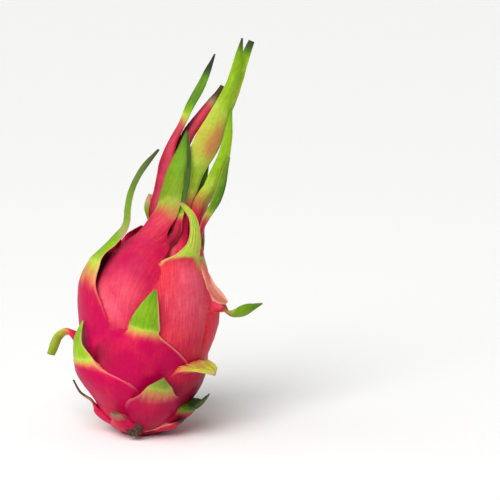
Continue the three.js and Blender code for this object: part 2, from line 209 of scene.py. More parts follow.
# %% [markdown]
# Stations are degrees, but a scale's pad is measured in millimetres of skin. So the length
# of a meridian is added up once, degree by degree, and read both ways.

# %% Between stations and lengths of skin
meridian = [0.0]
for degree in range(1, 181):
    meridian.append(meridian[-1] + (skin(180, degree) - skin(180, degree - 1)).length)


def length_at(station):
    i = min(int(station), len(meridian) - 2)
    return mix(meridian[i], meridian[i + 1], station - i)


def station_at(length):
    i = 0
    while i < len(meridian) - 2 and meridian[i + 1] < length:
        i += 1
    return i + clamp01((length - meridian[i]) / (meridian[i + 1] - meridian[i]))


print(f"from stem end to crown the skin is {meridian[-1]:.0f} mm long")


# %% [markdown]
# ## The body as a node tree
# The same rule makes the body's surface. A cylinder of rings is enough to start from: its
# height says which station a ring is, and its x and y already point the right way round.
# One Set Position node then puts every point where the rule says, and a second one adds
# the slow unevenness that a grown thing has. The sizes are inputs of the tree. Every point
# also stores that it has grown, for the seams later on.
#
# Both trees of this lesson end alike: smooth shading, Realize Instances and Set Material.

# %% What every tree starts and ends with
NUMBER = "NodeSocketFloat"
COUNT = "NodeSocketInt"


def new_tree(name, inputs):
    tree = bpy.data.node_groups.new(name, "GeometryNodeTree")
    for label, (kind, value) in inputs.items():
        socket = tree.interface.new_socket(label, in_out="INPUT", socket_type=kind)
        if value is not None:
            socket.default_value = value
    tree.interface.new_socket("Geometry", in_out="OUTPUT", socket_type="NodeSocketGeometry")
    return tree


def end_tree(add, geometry, material):
    rounded = add("GeometryNodeSetShadeSmooth", {"Geometry": geometry})
    real = add("GeometryNodeRealizeInstances", {"Geometry": rounded})
    painted = add("GeometryNodeSetMaterial", {"Geometry": real, "Material": material})
    add("NodeGroupOutput", {"Geometry": painted})


# %% The body's inputs
BODY_TONE = 0.05
TOP_STATION = 178

body_tree = new_tree("egg-shaped body", {
    "Radius": (NUMBER, BODY_RADIUS * MM),
    "Widest Height": (NUMBER, WIDEST_Z * MM),
    "Lower Half": (NUMBER, LOWER_HALF * MM),
    "Upper Half": (NUMBER, UPPER_HALF * MM),
    "Shoulder Power": (NUMBER, SHOULDER_POWER),
    "Base Power": (NUMBER, BASE_POWER),
    "Belly Shift": (NUMBER, BELLY_SHIFT * MM),
    "Crown Shift": (NUMBER, CROWN_SHIFT * MM),
    "Crown Power": (NUMBER, CROWN_POWER),
    "Base Shift": (NUMBER, BASE_SHIFT * MM),
    "Base Shift Power": (NUMBER, BASE_SHIFT_POWER),
    "Sides": (COUNT, 160),
    "Rings": (COUNT, 120),
    "Unevenness": (NUMBER, 0.8 * MM),
    "Bump Size": (NUMBER, 22 * MM),
    "Seed": (NUMBER, 3.0),
    "Material": ("NodeSocketMaterial", None),
})


# %% Build the body's tree
def place_on_skin(add, given, place):
    # the lowest ring is where the flat spot cuts the ellipse: cos(station) = height / half
    flat = add(MATH, [given["Widest Height"], given["Lower Half"]], "DIVIDE")
    lowest = add(MATH, [flat], "ARCCOSINE")
    station = add(MAP_RANGE, [place["Z"], -0.5, 0.5, lowest, math.radians(TOP_STATION)])
    cosine = add(MATH, [station], "COSINE")
    sine = add(MATH, [station], "SINE")
    low = add(MATH, [cosine, 0.0], "GREATER_THAN")
    half, power = [
        add("GeometryNodeSwitch", [low, given[above], given[below]], input_type="FLOAT")
        for above, below in (("Upper Half", "Lower Half"), ("Shoulder Power", "Base Power"))
    ]
    fullness = add(MATH, [sine, power], "POWER")
    radius = add(MATH, [given["Radius"], fullness], "MULTIPLY")
    drop = add(MATH, [half, cosine], "MULTIPLY")
    height = add(MATH, [given["Widest Height"], drop], "SUBTRACT")

    # the centre line, from how far up the body a ring is
    tall = add(MATH, [given["Widest Height"], given["Upper Half"]], "ADD")
    share = add(MATH, [height, tall], "DIVIDE", use_clamp=True)
    wave = add(MATH, [share, math.pi], "MULTIPLY")
    belly = add(MATH, [wave], "SINE")
    late = add(MATH, [share, given["Crown Power"]], "POWER")
    crown = add(MATH, [late, given["Crown Shift"]], "MULTIPLY")
    rest = add(MATH, [1.0, share], "SUBTRACT")
    early = add(MATH, [rest, given["Base Shift Power"]], "POWER")
    ends = add(MATH, [early, given["Base Shift"], crown], "MULTIPLY_ADD")
    middle = add(MATH, [belly, given["Belly Shift"], ends], "MULTIPLY_ADD")
    x = add(MATH, [place["X"], radius, middle], "MULTIPLY_ADD")
    y = add(MATH, [place["Y"], radius], "MULTIPLY")
    return add(JOIN_XYZ, [x, y, height])


def fill_body_tree(tree):
    add = partial(node, tree)
    given = add("NodeGroupInput").outputs
    rings = add("GeometryNodeMeshCylinder", {
        "Vertices": given["Sides"], "Side Segments": given["Rings"], "Radius": 1.0, "Depth": 1.0,
    }, fill_type="TRIANGLE_FAN")
    place = add(SPLIT_XYZ, [add("GeometryNodeInputPosition")]).outputs
    point = place_on_skin(add, given, place)
    shaped = add(SET_POSITION, {"Geometry": rings, "Position": point})
    grain = add(MATH, [1.0, given["Bump Size"]], "DIVIDE")
    slow = add(NOISE, {"W": given["Seed"], "Scale": grain, "Detail": 1.0}, noise_dimensions="4D")
    even = add(MATH, [slow, 0.5], "SUBTRACT")
    swell = add(MATH, [even, given["Unevenness"]], "MULTIPLY")
    push = add(VECTOR_MATH, [add("GeometryNodeInputNormal"), swell], "SCALE")
    stored = add(SET_POSITION, {"Geometry": shaped, "Offset": push})
    for name, value in {"tone": BODY_TONE, "grown": 1.0}.items():
        stored = add(STORE, {"Geometry": stored, "Name": name, "Value": value})
    end_tree(add, stored, given["Material"])


fill_body_tree(body_tree)
print("body tree:", len(body_tree.nodes), "nodes")


# %% [markdown]
# ## A scale, from foot to tip
# Each scale has a pad, which lies on the body and swells up towards its rim, and a blade,
# which leaves the skin at the rim and runs out to a point. A scale is described row by
# row along its middle line. A row says where its middle is, how far and which way it is
# wide, how its sides droop, which way it faces and how thick it is. A dense mesh could be
# written out point by point instead, but rows are few, and easy to reason about.
#
# The blade's middle line is a curve through a few points, walked in even steps. What
# changes along a scale is given either as evenly spaced values or as stops, which are
# pairs of a place and an amount.

# %% Curves, even steps and stops
CURVE_STEPS = 16


def catmull_rom(points):
    ends = [points[0] * 2 - points[1], *points, points[-1] * 2 - points[-2]]
    line = []
    for p0, p1, p2, p3 in zip(ends, ends[1:], ends[2:], ends[3:]):
        # knots spaced by the root of the distance keep tight bends free of loops
        d0, d1, d2 = [max((b - a).length ** 0.5, 1e-4) for a, b in ((p0, p1), (p1, p2), (p2, p3))]
        t1 = ((p1 - p0) / d0 - (p2 - p0) / (d0 + d1) + (p2 - p1) / d1) * d1
        t2 = ((p2 - p1) / d1 - (p3 - p1) / (d1 + d2) + (p3 - p2) / d2) * d1
        for i in range(CURVE_STEPS):
            x = i / CURVE_STEPS
            square, cube = 3 * (p2 - p1) - 2 * t1 - t2, 2 * (p1 - p2) + t1 + t2
            line.append(p1 + t1 * x + square * x**2 + cube * x**3)
    return [*line, points[-1].copy()]


def walk(line, count):
    lengths = [0.0]
    for a, b in zip(line, line[1:]):
        lengths.append(lengths[-1] + (b - a).length)
    places = []
    i = 0
    for j in range(count + 1):
        want = lengths[-1] * j / count
        while i < len(line) - 2 and lengths[i + 1] < want:
            i += 1
        share = (want - lengths[i]) / max(lengths[i + 1] - lengths[i], 1e-9)
        places.append((line[i].lerp(line[i + 1], share), (line[i + 1] - line[i]).normalized()))
    return places, lengths[-1]


def along(values, x):
    f = clamp01(x) * (len(values) - 1)
    i = min(int(f), len(values) - 2)
    return mix(values[i], values[i + 1], f - i)


def stops(pairs, x):
    if x <= pairs[0][0]:
        return pairs[0][1]
    for (x0, y0), (x1, y1) in zip(pairs, pairs[1:]):
        if x <= x1:
            return mix(y0, y1, (x - x0) / (x1 - x0))
    return pairs[-1][1]


# %% The course of a blade that is given by a length and its lift off the skin
PATH_STEPS = 4


def lean(a, b, angle):
    return a * math.cos(angle) + b * math.sin(angle)


def blade_path(rim, up, across, out, length, lift, sway):
    path = []
    at = rim.copy()
    for i in range(1, PATH_STEPS + 1):
        off = math.radians(along(lift, (i - 0.5) / PATH_STEPS))
        side = math.radians(sway) * (i - 0.5) / PATH_STEPS
        run = up * math.cos(off) * math.cos(side) + out * math.sin(off) * math.cos(side)
        at = at + (run + across * math.sin(side)) * length / PATH_STEPS
        path.append(at)
    return path


# %% [markdown]
# ## The shape of a scale
# The pad runs on the skin from the station `foot` to the station `rim`, and `roll` turns
# it there. It is `pad` wide on each side, most at the share `taper` of its length, and
# from `shoulder` on it draws in to `rim_half` at the rim. There it stands `swell` off the
# skin, `rise` says how late it lifts, and `fall` how far its left and right edges sink
# back, as shares of that height: below nought they stand higher than the middle. `wall` is
# how deep the scale reaches in at the rim.
#
# The blade goes through the points of `path`, or for a `length`, `lift` degrees off the
# skin and `sway` to one side. `widths` are its half-widths from rim to `tip`, `cup` is
# half the angle of its arc, `twist` turns it round its middle line, and `thick` is its
# thickness. Angles, azimuths and stations are in degrees (`cup` in radians), the rest is
# in millimetres.
#
# Colour amounts come with the shape, as stops from -1 at the foot through 0 at the rim to
# 1 at the tip, or as one number for all of the scale.

# %% The rows of a scale
PAD_ROWS = 6
LEAST_BLADE_ROWS = 6
ROW_MM = 5
PAD_SINK = 2.2
FOOT_SINK = 1.0
EDGE_FALL = 0.55
FALL_START = 0.4
TIP_HALF_WIDTH = 0.5
TIP_THICKNESS = 1
ROOT_RUN = 5
SETTLE_SHARE = 0.3
TWIST_SPEED = 1.5
NARROWEST_PAD = 0.12
BELLY_SHARE = 0.6
BELOW_RIM = 6
LEAST_BEND = 0.1
MOST_BEND = 1.2
LOOKS = {
    "ripe": 0.0, "dry": 0.0, "tone": 0.35, "lip": 0.0, "lip_side": 0.0, "blush": 0.0, "shade": 0.0,
    "dusk": 0.0, "char": 0.0, "bloom": 0.0, "pleat": 0.0, "wave": 0.5, "kin": 0.0,
}


def scale_rows(azimuth, foot, rim, pad, rim_half, widths, tip=TIP_HALF_WIDTH, taper=BELLY_SHARE,
               shoulder=0.45, swell=3, rise=1, fall=(EDGE_FALL, EDGE_FALL), wall=None, roll=0,
               path=None, length=None, lift=None, sway=0, cup=0.5, twist=0, thick=1.8, **looks):
    wall = swell + PAD_SINK if wall is None else wall
    turn = math.radians(roll)
    rim_length = length_at(rim)
    pad_length = rim_length - length_at(foot)

    def on_pad(below, side, height):
        station = station_at(rim_length - below * math.cos(turn) - side * math.sin(turn))
        shift = (side * math.cos(turn) - below * math.sin(turn)) / skin_radius(station)
        turned = azimuth + math.degrees(shift)
        return skin(turned, station) + skin_frame(turned, station)[2] * height

    def height(v, less):
        return swell * smooth(v) ** rise * (1 - less) - FOOT_SINK * (1 - smooth(v))

    rows = []

    def add_row(q, at, wide, droop, bend, face, depth, half):
        row = dict(q=q, at=at, wide=wide, droop=droop, bend=bend, face=face, depth=depth, half=half)
        row["along"] = 0.0 if not rows else rows[-1]["along"] + (at - rows[-1]["at"]).length
        rows.append(row)

    def pad_row(v, half):
        below = pad_length * (1 - v)
        middle = on_pad(below, 0, height(v, 0))
        # an edge that stands up does so near the rim only; one that sinks in does so all along
        late = smooth((v - FALL_START) / (1 - FALL_START))
        less = [max(f, mix(EDGE_FALL, f, late)) for f in fall]
        left = on_pad(below, -half, height(v, less[0]))
        right = on_pad(below, half, height(v, less[1]))
        station = station_at(rim_length - below * math.cos(turn))
        radius = skin_radius(station)
        face = skin_frame(azimuth - math.degrees(below * math.sin(turn) / radius), station)[2]
        bend = min(max(half / radius, LEAST_BEND), MOST_BEND)
        return middle, (right - left) / 2, (right + left) / 2 - middle, bend, face

    for j in range(PAD_ROWS):
        v = j / PAD_ROWS
        belly = pad * math.sin(math.pi / 2 * clamp01(NARROWEST_PAD + v / taper))
        half = mix(belly, rim_half, smooth((v - shoulder) / (1 - shoulder)))
        middle, wide, droop, bend, face = pad_row(v, half)
        depth = min(mix(swell + PAD_SINK, wall, v), height(v, 0) + PAD_SINK)
        add_row(v - 1, middle, wide, droop, bend, face, depth, half)

    up, across, out = skin_frame(azimuth, rim)
    up, across = lean(up, across, turn), lean(across, up, -turn)
    rim_point = on_pad(0, 0, swell)
    if path:
        points = [Vector(p) for p in path]
    else:
        points = blade_path(rim_point, up, across, out, length, lift, sway)
    # the first span, from below the rim, only steers the curve
    line = catmull_rom([on_pad(BELOW_RIM, 0, swell), rim_point, *points])[CURVE_STEPS:]
    count = max(LEAST_BLADE_ROWS, round((points[-1] - rim_point).length / ROW_MM))
    places, blade_length = walk(line, count)
    _, rim_wide, rim_droop, _, _ = pad_row(1, rim_half)
    for j, (at, tangent) in enumerate(places):
        s = j / count
        across = (across - tangent * across.dot(tangent)).normalized()
        out = across.cross(tangent).normalized()
        angle = math.radians(twist) * smooth(s * TWIST_SPEED)
        side, face = lean(across, out, -angle), lean(out, across, angle)
        half = along([rim_half, *widths, tip], s)
        radius = half / cup
        wide, droop = side * radius * math.sin(cup), face * radius * (math.cos(cup) - 1)
        if j == 0:
            settle = (rim_wide - wide, rim_droop - droop)
        # near the rim the section passes over from the pad's into the blade's own
        fade = 1 - smooth(s / SETTLE_SHARE)
        depth = mix(wall, mix(thick, TIP_THICKNESS, s), smooth(s * blade_length / ROOT_RUN))
        add_row(s, at, wide + settle[0] * fade, droop + settle[1] * fade, cup, face, depth, half)
    for row in rows:
        for name, plain in LOOKS.items():
            given = looks.get(name, plain)
            row[name] = stops(given, row["q"]) if isinstance(given, list) else given
    return rows


# %% [markdown]
# ## Sweeping the rows into a leaf
# A second tree turns rows into a closed leaf. The rows become a smooth curve, and the
# curve is resampled, which also blends what each row says. A cylinder lends its grid: its
# height picks the row, and its circle becomes the section, the near half the outer face
# and the far half the inner one, so that the leaf is closed with rounded edges. The
# section is an arc, because a scale wraps round the body and its blade is cupped.

# %% The scale's inputs, and what its rows know
ROW_VECTORS = ["wide", "droop", "face"]
ROW_NUMBERS = ["bend", "depth", "half", "along", "pleat", "wave"]
PAINT = [name for name in LOOKS if name not in ROW_NUMBERS]

scale_tree = new_tree("leafy scale", {
    "Rows": ("NodeSocketGeometry", None),
    "Row Spacing": (NUMBER, 1.3 * MM),
    "Columns": (COUNT, 42),
    "Pleats": (NUMBER, 5.0),
    "Wave Length": (NUMBER, 13 * MM),
    "Unevenness": (NUMBER, 0.7 * MM),
    "Bump Size": (NUMBER, 11 * MM),
    "Seed": (NUMBER, 0.0),
    "Material": ("NodeSocketMaterial", None),
})


def kind_of(name):
    return "FLOAT_VECTOR" if name in ["middle", *ROW_VECTORS] else "FLOAT"


def read_amounts(add, names):
    return {name: add("GeometryNodeInputNamedAttribute", {"Name": name}, data_type=kind_of(name))
            for name in names}


# %% A grid whose rings know their rows
def lend_grid(add, given):
    chain = add("GeometryNodeMeshToCurve", {"Mesh": given["Rows"]})
    spline = add("GeometryNodeCurveSplineType", {"Curve": chain}, spline_type="CATMULL_ROM")
    spine = add("GeometryNodeResampleCurve", {"Curve": spline, "Length": given["Row Spacing"]},
                mode="LENGTH")
    size = add("GeometryNodeAttributeDomainSize", {"Geometry": spine}, component="CURVE").outputs
    last = add(MATH, [size["Point Count"], 1.0], "SUBTRACT")
    stored = add("GeometryNodeMeshCylinder", {
        "Vertices": given["Columns"], "Side Segments": last, "Radius": 1.0, "Depth": 1.0,
    }, fill_type="TRIANGLE_FAN")
    place = add(SPLIT_XYZ, [add("GeometryNodeInputPosition")]).outputs
    row = add(MAP_RANGE, [place["Z"], -0.5, 0.5, 0.0, last])
    index = add(MATH, [row], "ROUND")
    # what each ring has to know is stored on the grid before its points move
    middle = add("GeometryNodeInputPosition")
    known = {"middle": middle, **read_amounts(add, [*ROW_VECTORS, *ROW_NUMBERS, *PAINT])}
    for name, value in known.items():
        kind = kind_of(name)
        taken = add("GeometryNodeSampleIndex", {"Geometry": spine, "Value": value, "Index": index},
                    data_type=kind)
        stored = add(STORE, {"Geometry": stored, "Name": name, "Value": taken}, data_type=kind)
    edge = add(MATH, [place["X"]], "ABSOLUTE")
    inner = add(MATH, [place["Y"], 0.0], "MAXIMUM")
    for name, value in {"side": place["X"], "edge": edge, "under": inner, "grown": 1.0}.items():
        stored = add(STORE, {"Geometry": stored, "Name": name, "Value": value})
    return stored


# %% The arc of a section
def arc_of_section(add, known):
    # through the middle and both edges: sideways as a sine, drooping as a cosine
    turn = add(MATH, [known["side"], known["bend"]], "MULTIPLY")
    sine = add(MATH, [turn], "SINE")
    full_sine = add(MATH, [known["bend"]], "SINE")
    sideways = add(MATH, [sine, full_sine], "DIVIDE")
    cosine = add(MATH, [turn], "COSINE")
    full_cosine = add(MATH, [known["bend"]], "COSINE")
    fall = add(MATH, [1.0, cosine], "SUBTRACT")
    full_fall = add(MATH, [1.0, full_cosine], "SUBTRACT")
    drooped = add(MATH, [fall, full_fall], "DIVIDE")
    out_there = add(VECTOR_MATH, [known["wide"], sideways], "SCALE")
    down_there = add(VECTOR_MATH, [known["droop"], drooped], "SCALE")
    return add(VECTOR_MATH, [out_there, down_there], "ADD")


# %% How far a point lies off that arc
def depth_below_arc(add, given, known):
    # the inner face lies deeper, pleats run lengthwise, and the edges wave up and down
    sunk = add(MATH, [known["under"], known["depth"]], "MULTIPLY")
    fold = add(MATH, [known["side"], given["Pleats"]], "MULTIPLY")
    fold_turn = add(MATH, [fold, math.pi], "MULTIPLY")
    fold_wave = add(MATH, [fold_turn], "COSINE")
    pleated = add(MATH, [fold_wave, known["pleat"], sunk], "MULTIPLY_ADD")
    stretch = add(MATH, [known["along"], given["Wave Length"]], "DIVIDE")
    which = add(JOIN_XYZ, [stretch, known["side"], known["kin"]])
    edge_noise = add(NOISE, {"Vector": which, "W": given["Seed"], "Scale": 1.0, "Detail": 0.0},
                     noise_dimensions="4D")
    even = add(MATH, [edge_noise, 0.5], "SUBTRACT")
    outermost = add(MATH, [known["side"], 2.0], "POWER")
    waved = add(MATH, [even, outermost], "MULTIPLY")
    raised = add(MATH, [waved, known["wave"], pleated], "MULTIPLY_ADD")
    return add(MATH, [raised, -1.0], "MULTIPLY")


# %% Build the scale's tree
def fill_scale_tree(tree):
    add = partial(node, tree)
    given = add("NodeGroupInput").outputs
    stored = lend_grid(add, given)
    known = read_amounts(add, ["middle", *ROW_VECTORS, *ROW_NUMBERS, "side", "under", "kin", "dusk"])

    # dusk is painted shade on one side of a scale: the left one where a row gives it below nought
    turned_away = add(MATH, [known["dusk"], known["side"]], "MULTIPLY")
    gloom = add(MAP_RANGE, [turned_away, 0.2, 1.0, 0.0, 0.85], interpolation_type="SMOOTHSTEP")
    stored = add(STORE, {"Geometry": stored, "Name": "dusk", "Value": gloom})

    section = arc_of_section(add, known)
    depth = depth_below_arc(add, given, known)
    push = add(VECTOR_MATH, [known["face"], depth], "SCALE")
    shifted = add(VECTOR_MATH, [section, push], "ADD")
    point = add(VECTOR_MATH, [known["middle"], shifted], "ADD")
    shaped = add(SET_POSITION, {"Geometry": stored, "Position": point})
    grain = add(MATH, [1.0, given["Bump Size"]], "DIVIDE")
    slow = add(NOISE, {"W": given["Seed"], "Scale": grain, "Detail": 1.0}, noise_dimensions="4D")
    centred = add(VECTOR_MATH, [slow.outputs["Color"], (0.5, 0.5, 0.5)], "SUBTRACT")
    shake = add(VECTOR_MATH, [centred, given["Unevenness"]], "SCALE")
    uneven = add(SET_POSITION, {"Geometry": shaped, "Offset": shake})
    end_tree(add, uneven, given["Material"])


fill_scale_tree(scale_tree)
print("scale tree:", len(scale_tree.nodes), "nodes")


# %% [markdown]
# ## Every scale of the fruit
# The scales of the front are each their own, so they are placed one by one, and each brings
# the amounts that its skin is coloured by:
#
# - `ripe` runs from 0, red skin, over 0.5, yellow, to 1, dark green, and `blush` takes
#   from it on one side, the left one below nought.
# - `tone` of the red is 0 for magenta and 1 for coral, and the bloom amount is pale wax on
#   it, which also paints a soft highlight.
# - `dry` runs from 0, fresh, over 0.5, tan, to 1, nearly black, and `char` blackens.
# - `lip` is a pale margin, broader over 1, and `lip_side` leaves it to the right edge.
# - `shade` darkens all the way across: it is painted shade in recesses and under folds, and
#   elsewhere a duller colour. `dusk` is painted shade on one side, the left one below nought.
# - `pleat` and `wave` are the heights of folds and wavy edges, and `kin` tells the scales
#   apart.

# %% The crown
CROWN = [
    # the broad leaf of the front, its neck coral and its blade green
    # dusk paints the shade of the recess behind the flap; shade paints shadow at the foot and dulls the
    # green
    dict(azimuth=-33, foot=84, rim=152, pad=31, rim_half=18, swell=7.5, fall=(0.9, 0.6), cup=0.7,
         twist=10,
         path=[(11.3, -12, 138), (14.5, -8, 149), (17.6, -5, 161), (21.4, -2, 172), (24.7, 0, 184)],
         widths=[12.4, 10.5, 9.6, 8.9, 8.2, 7.3, 6.2, 4.9, 3],
         dusk=[(-0.8, -0.9), (-0.66, 0), (-0.6, 0), (-0.42, -0.9), (-0.25, -1.5), (-0.08, -1.8),
               (0.06, -1.4), (0.2, 0)],
         bloom=[(-0.82, 0), (-0.66, 0.7), (-0.5, 1), (-0.35, 0.6), (-0.22, 0.1), (0.1, 0.2), (0.3, 0.6)],
         tone=[(-0.84, 0), (-0.7, 0.45), (-0.5, 0.6), (-0.2, 0.1), (0, 0.15), (0.15, 0.45), (0.3, 0.9)],
         shade=[(-1, 0.4), (-0.84, 0.15), (-0.7, 0), (0, 0.05), (0.3, 0.15), (0.44, 0.4), (0.6, 0.32),
                (0.78, 0.15)],
         ripe=[(0.16, 0.08), (0.3, 0.3), (0.38, 0.5), (0.48, 0.66), (0.8, 0.74), (1, 0.9)]),
    # a narrow one pressed against it, dark green where it is free, and darkened low down by painted
    # shade where it stands in the recess
    dict(azimuth=8, foot=118, rim=150, pad=8, rim_half=4,
         path=[(18.6, -17, 125.6), (19.6, -14, 132.3), (21.5, -11, 140.2), (24.4, -9, 151),
               (26, -8, 164), (26.2, -7, 173), (25.6, -5.5, 183)],
         widths=[3.4, 3, 2.6, 2.2, 1.8, 1.6, 1.4], tone=0.3, lip=0.4,
         shade=[(0, 0.6), (0.16, 0.45), (0.3, 0)], dusk=[(0.1, 0), (0.2, -1), (0.3, 0)],
         ripe=[(0.24, 0.1), (0.3, 0.3), (0.36, 0.7), (0.42, 0.92), (1, 0.96)],
         char=[(0.3, 0), (0.4, 0.2)]),
    # the short red leaf behind it, with a shrivelled tip, and painted shade on its left edge, which lies
    # in shadow behind the broad leaf
    dict(azimuth=22, foot=125, rim=160, pad=10, rim_half=6, swell=2, cup=0.6,
         path=[(18.6, 5, 138), (21.6, 7, 171), (26, 7, 181), (34, 7, 192), (41.6, 7, 201.6),
               (46.3, 7, 209.6)],
         widths=[4.4, 4, 4.2, 5, 5.4, 4.6, 4, 3.6, 3.2], tip=1.6, tone=0.4, bloom=0.7,
         dusk=[(0.68, -3), (0.76, -0.8)], ripe=[(0.3, 0.1), (0.8, 0.12), (0.88, 0.3)],
         dry=[(0.86, 0), (0.93, 0.7)], char=[(0.86, 0), (0.92, 0.5)]),
    # the tallest leaf
    dict(azimuth=40, foot=115, rim=154, pad=12, rim_half=5,
         path=[(25.2, -5, 136), (27, -3.5, 146.5), (31.8, -3, 163.5), (38.7, -2, 178), (44.6, 0, 192),
               (53.2, 4, 213), (58, 8, 238)],
         widths=[4.6, 4.4, 5, 6.4, 8.8, 9.8, 8.2, 6.2, 5, 4.2, 2.9], tone=0.5,
         dusk=[(0.1, 0), (0.3, -0.8), (0.5, 0)],
         ripe=[(0, 0.1), (0.13, 0.15), (0.22, 0.42), (0.28, 0.64), (0.36, 0.6), (0.43, 0.53),
               (0.54, 0.52), (0.62, 0.58), (0.75, 0.64), (0.9, 0.7), (1, 0.85)],
         blush=[(0.4, 0), (0.49, 0.14), (0.56, 0.14), (0.66, 0)], char=[(0.93, 0), (0.98, 0.9)]),
    # the leaf of the right, light green
    dict(azimuth=75, foot=115, rim=150, pad=14, rim_half=9, twist=-50,
         path=[(34, 1, 139), (40.5, 1, 149), (44.5, 1, 160), (48, 1, 172), (50, 2, 184), (51.5, 3, 197)],
         widths=[8, 6.6, 6, 3.8, 2.6], tone=0.6,
         ripe=[(0.18, 0.12), (0.3, 0.4), (0.38, 0.56), (0.55, 0.64), (0.9, 0.68), (1, 0.8)]),
    # the dark strap outside it
    dict(azimuth=84, foot=116, rim=148, pad=13, rim_half=7, swell=2.5, cup=0.4, twist=-45,
         path=[(35.4, 1, 127), (39.2, 0, 134.8), (43, -1, 142.6), (46, -1, 151.7), (48.2, 0, 160.8),
               (50.2, 1, 167.5)],
         widths=[4.6, 4, 3.6, 3.4, 3, 2.2], tone=0.3, lip=0.5, dusk=[(0.2, 0), (0.4, 0.9)],
         ripe=[(0.1, 0.1), (0.3, 0.36), (0.42, 0.7), (0.6, 0.8), (1, 0.8)]),
    # the blunt one behind the tallest, dark at its foot
    dict(azimuth=60, foot=140, rim=166, pad=8, rim_half=5, swell=2, twist=-40,
         path=[(25.3, 1, 130), (29.4, 4, 140.5), (33, 5, 151), (34.6, 6, 160), (36.1, 7.5, 170),
               (40.9, 9, 183.7), (48.1, 10, 197.4), (54, 11, 211.7), (57.3, 11.5, 221), (61.2, 12, 231),
               (63.3, 12, 236)],
         widths=[5, 4.6, 4.2, 3.4, 3, 4, 4.4, 4.6, 4.4, 3.8, 2.8], tip=1.9, tone=0.5,
         ripe=[(0.05, 0.2), (0.12, 0.6), (0.18, 0.86), (0.36, 0.88), (0.46, 0.57), (0.7, 0.57),
               (0.9, 0.64), (1, 0.85)], char=[(0.93, 0), (0.97, 0.85)]),
    # the long one of the left, red up to its last third
    dict(azimuth=-172, foot=125, rim=158, pad=12, rim_half=7, cup=0.6, twist=-20,
         path=[(5.1, 10, 134), (8.9, 9, 147), (12.4, 7.5, 162), (14, 7, 169), (17, 6, 177.5),
               (22.2, 5.5, 187.7), (26.5, 5, 197.3), (31.3, 5, 205.7), (35.6, 5, 214.6),
               (41.7, 5, 228.8)],
         widths=[4, 4.2, 4.6, 4.9, 2.9, 2.2, 2.7, 3, 2.2], tone=0.45, bloom=0.8,
         shade=[(0.34, 0), (0.44, 0.25), (0.56, 0.3), (0.66, 0.1)],
         ripe=[(0.48, 0.08), (0.62, 0.35), (0.67, 0.6), (0.74, 0.8), (0.84, 0.82), (0.92, 0.88)],
         char=[(0.86, 0), (0.92, 0.85)]),
    # a small green one at its foot
    dict(azimuth=-176, foot=120, rim=152, pad=13, rim_half=6, twist=-40,
         path=[(0.5, 18, 135), (2.4, 18, 143)],
         widths=[4, 3, 2.6], tip=1.5, ripe=[(0, 0.3), (0.3, 0.66), (1, 0.8)], dry=[(0.6, 0), (1, 0.5)]),
    # a dusky red one between it and the flap of the left
    dict(azimuth=-116, foot=92, rim=139, pad=22, rim_half=11, swell=5, length=9, lift=[4, -4, -10],
         widths=[7.6, 5], tone=0.6, bloom=0.6),
    # and another that fills the shoulder
    dict(azimuth=-146, foot=100, rim=146, pad=20, rim_half=11, swell=8, length=12, lift=[0, -8, -14],
         sway=20, widths=[8, 5], shade=0.1, tone=0.3),
]
print("crown:", len(CROWN), "scales")


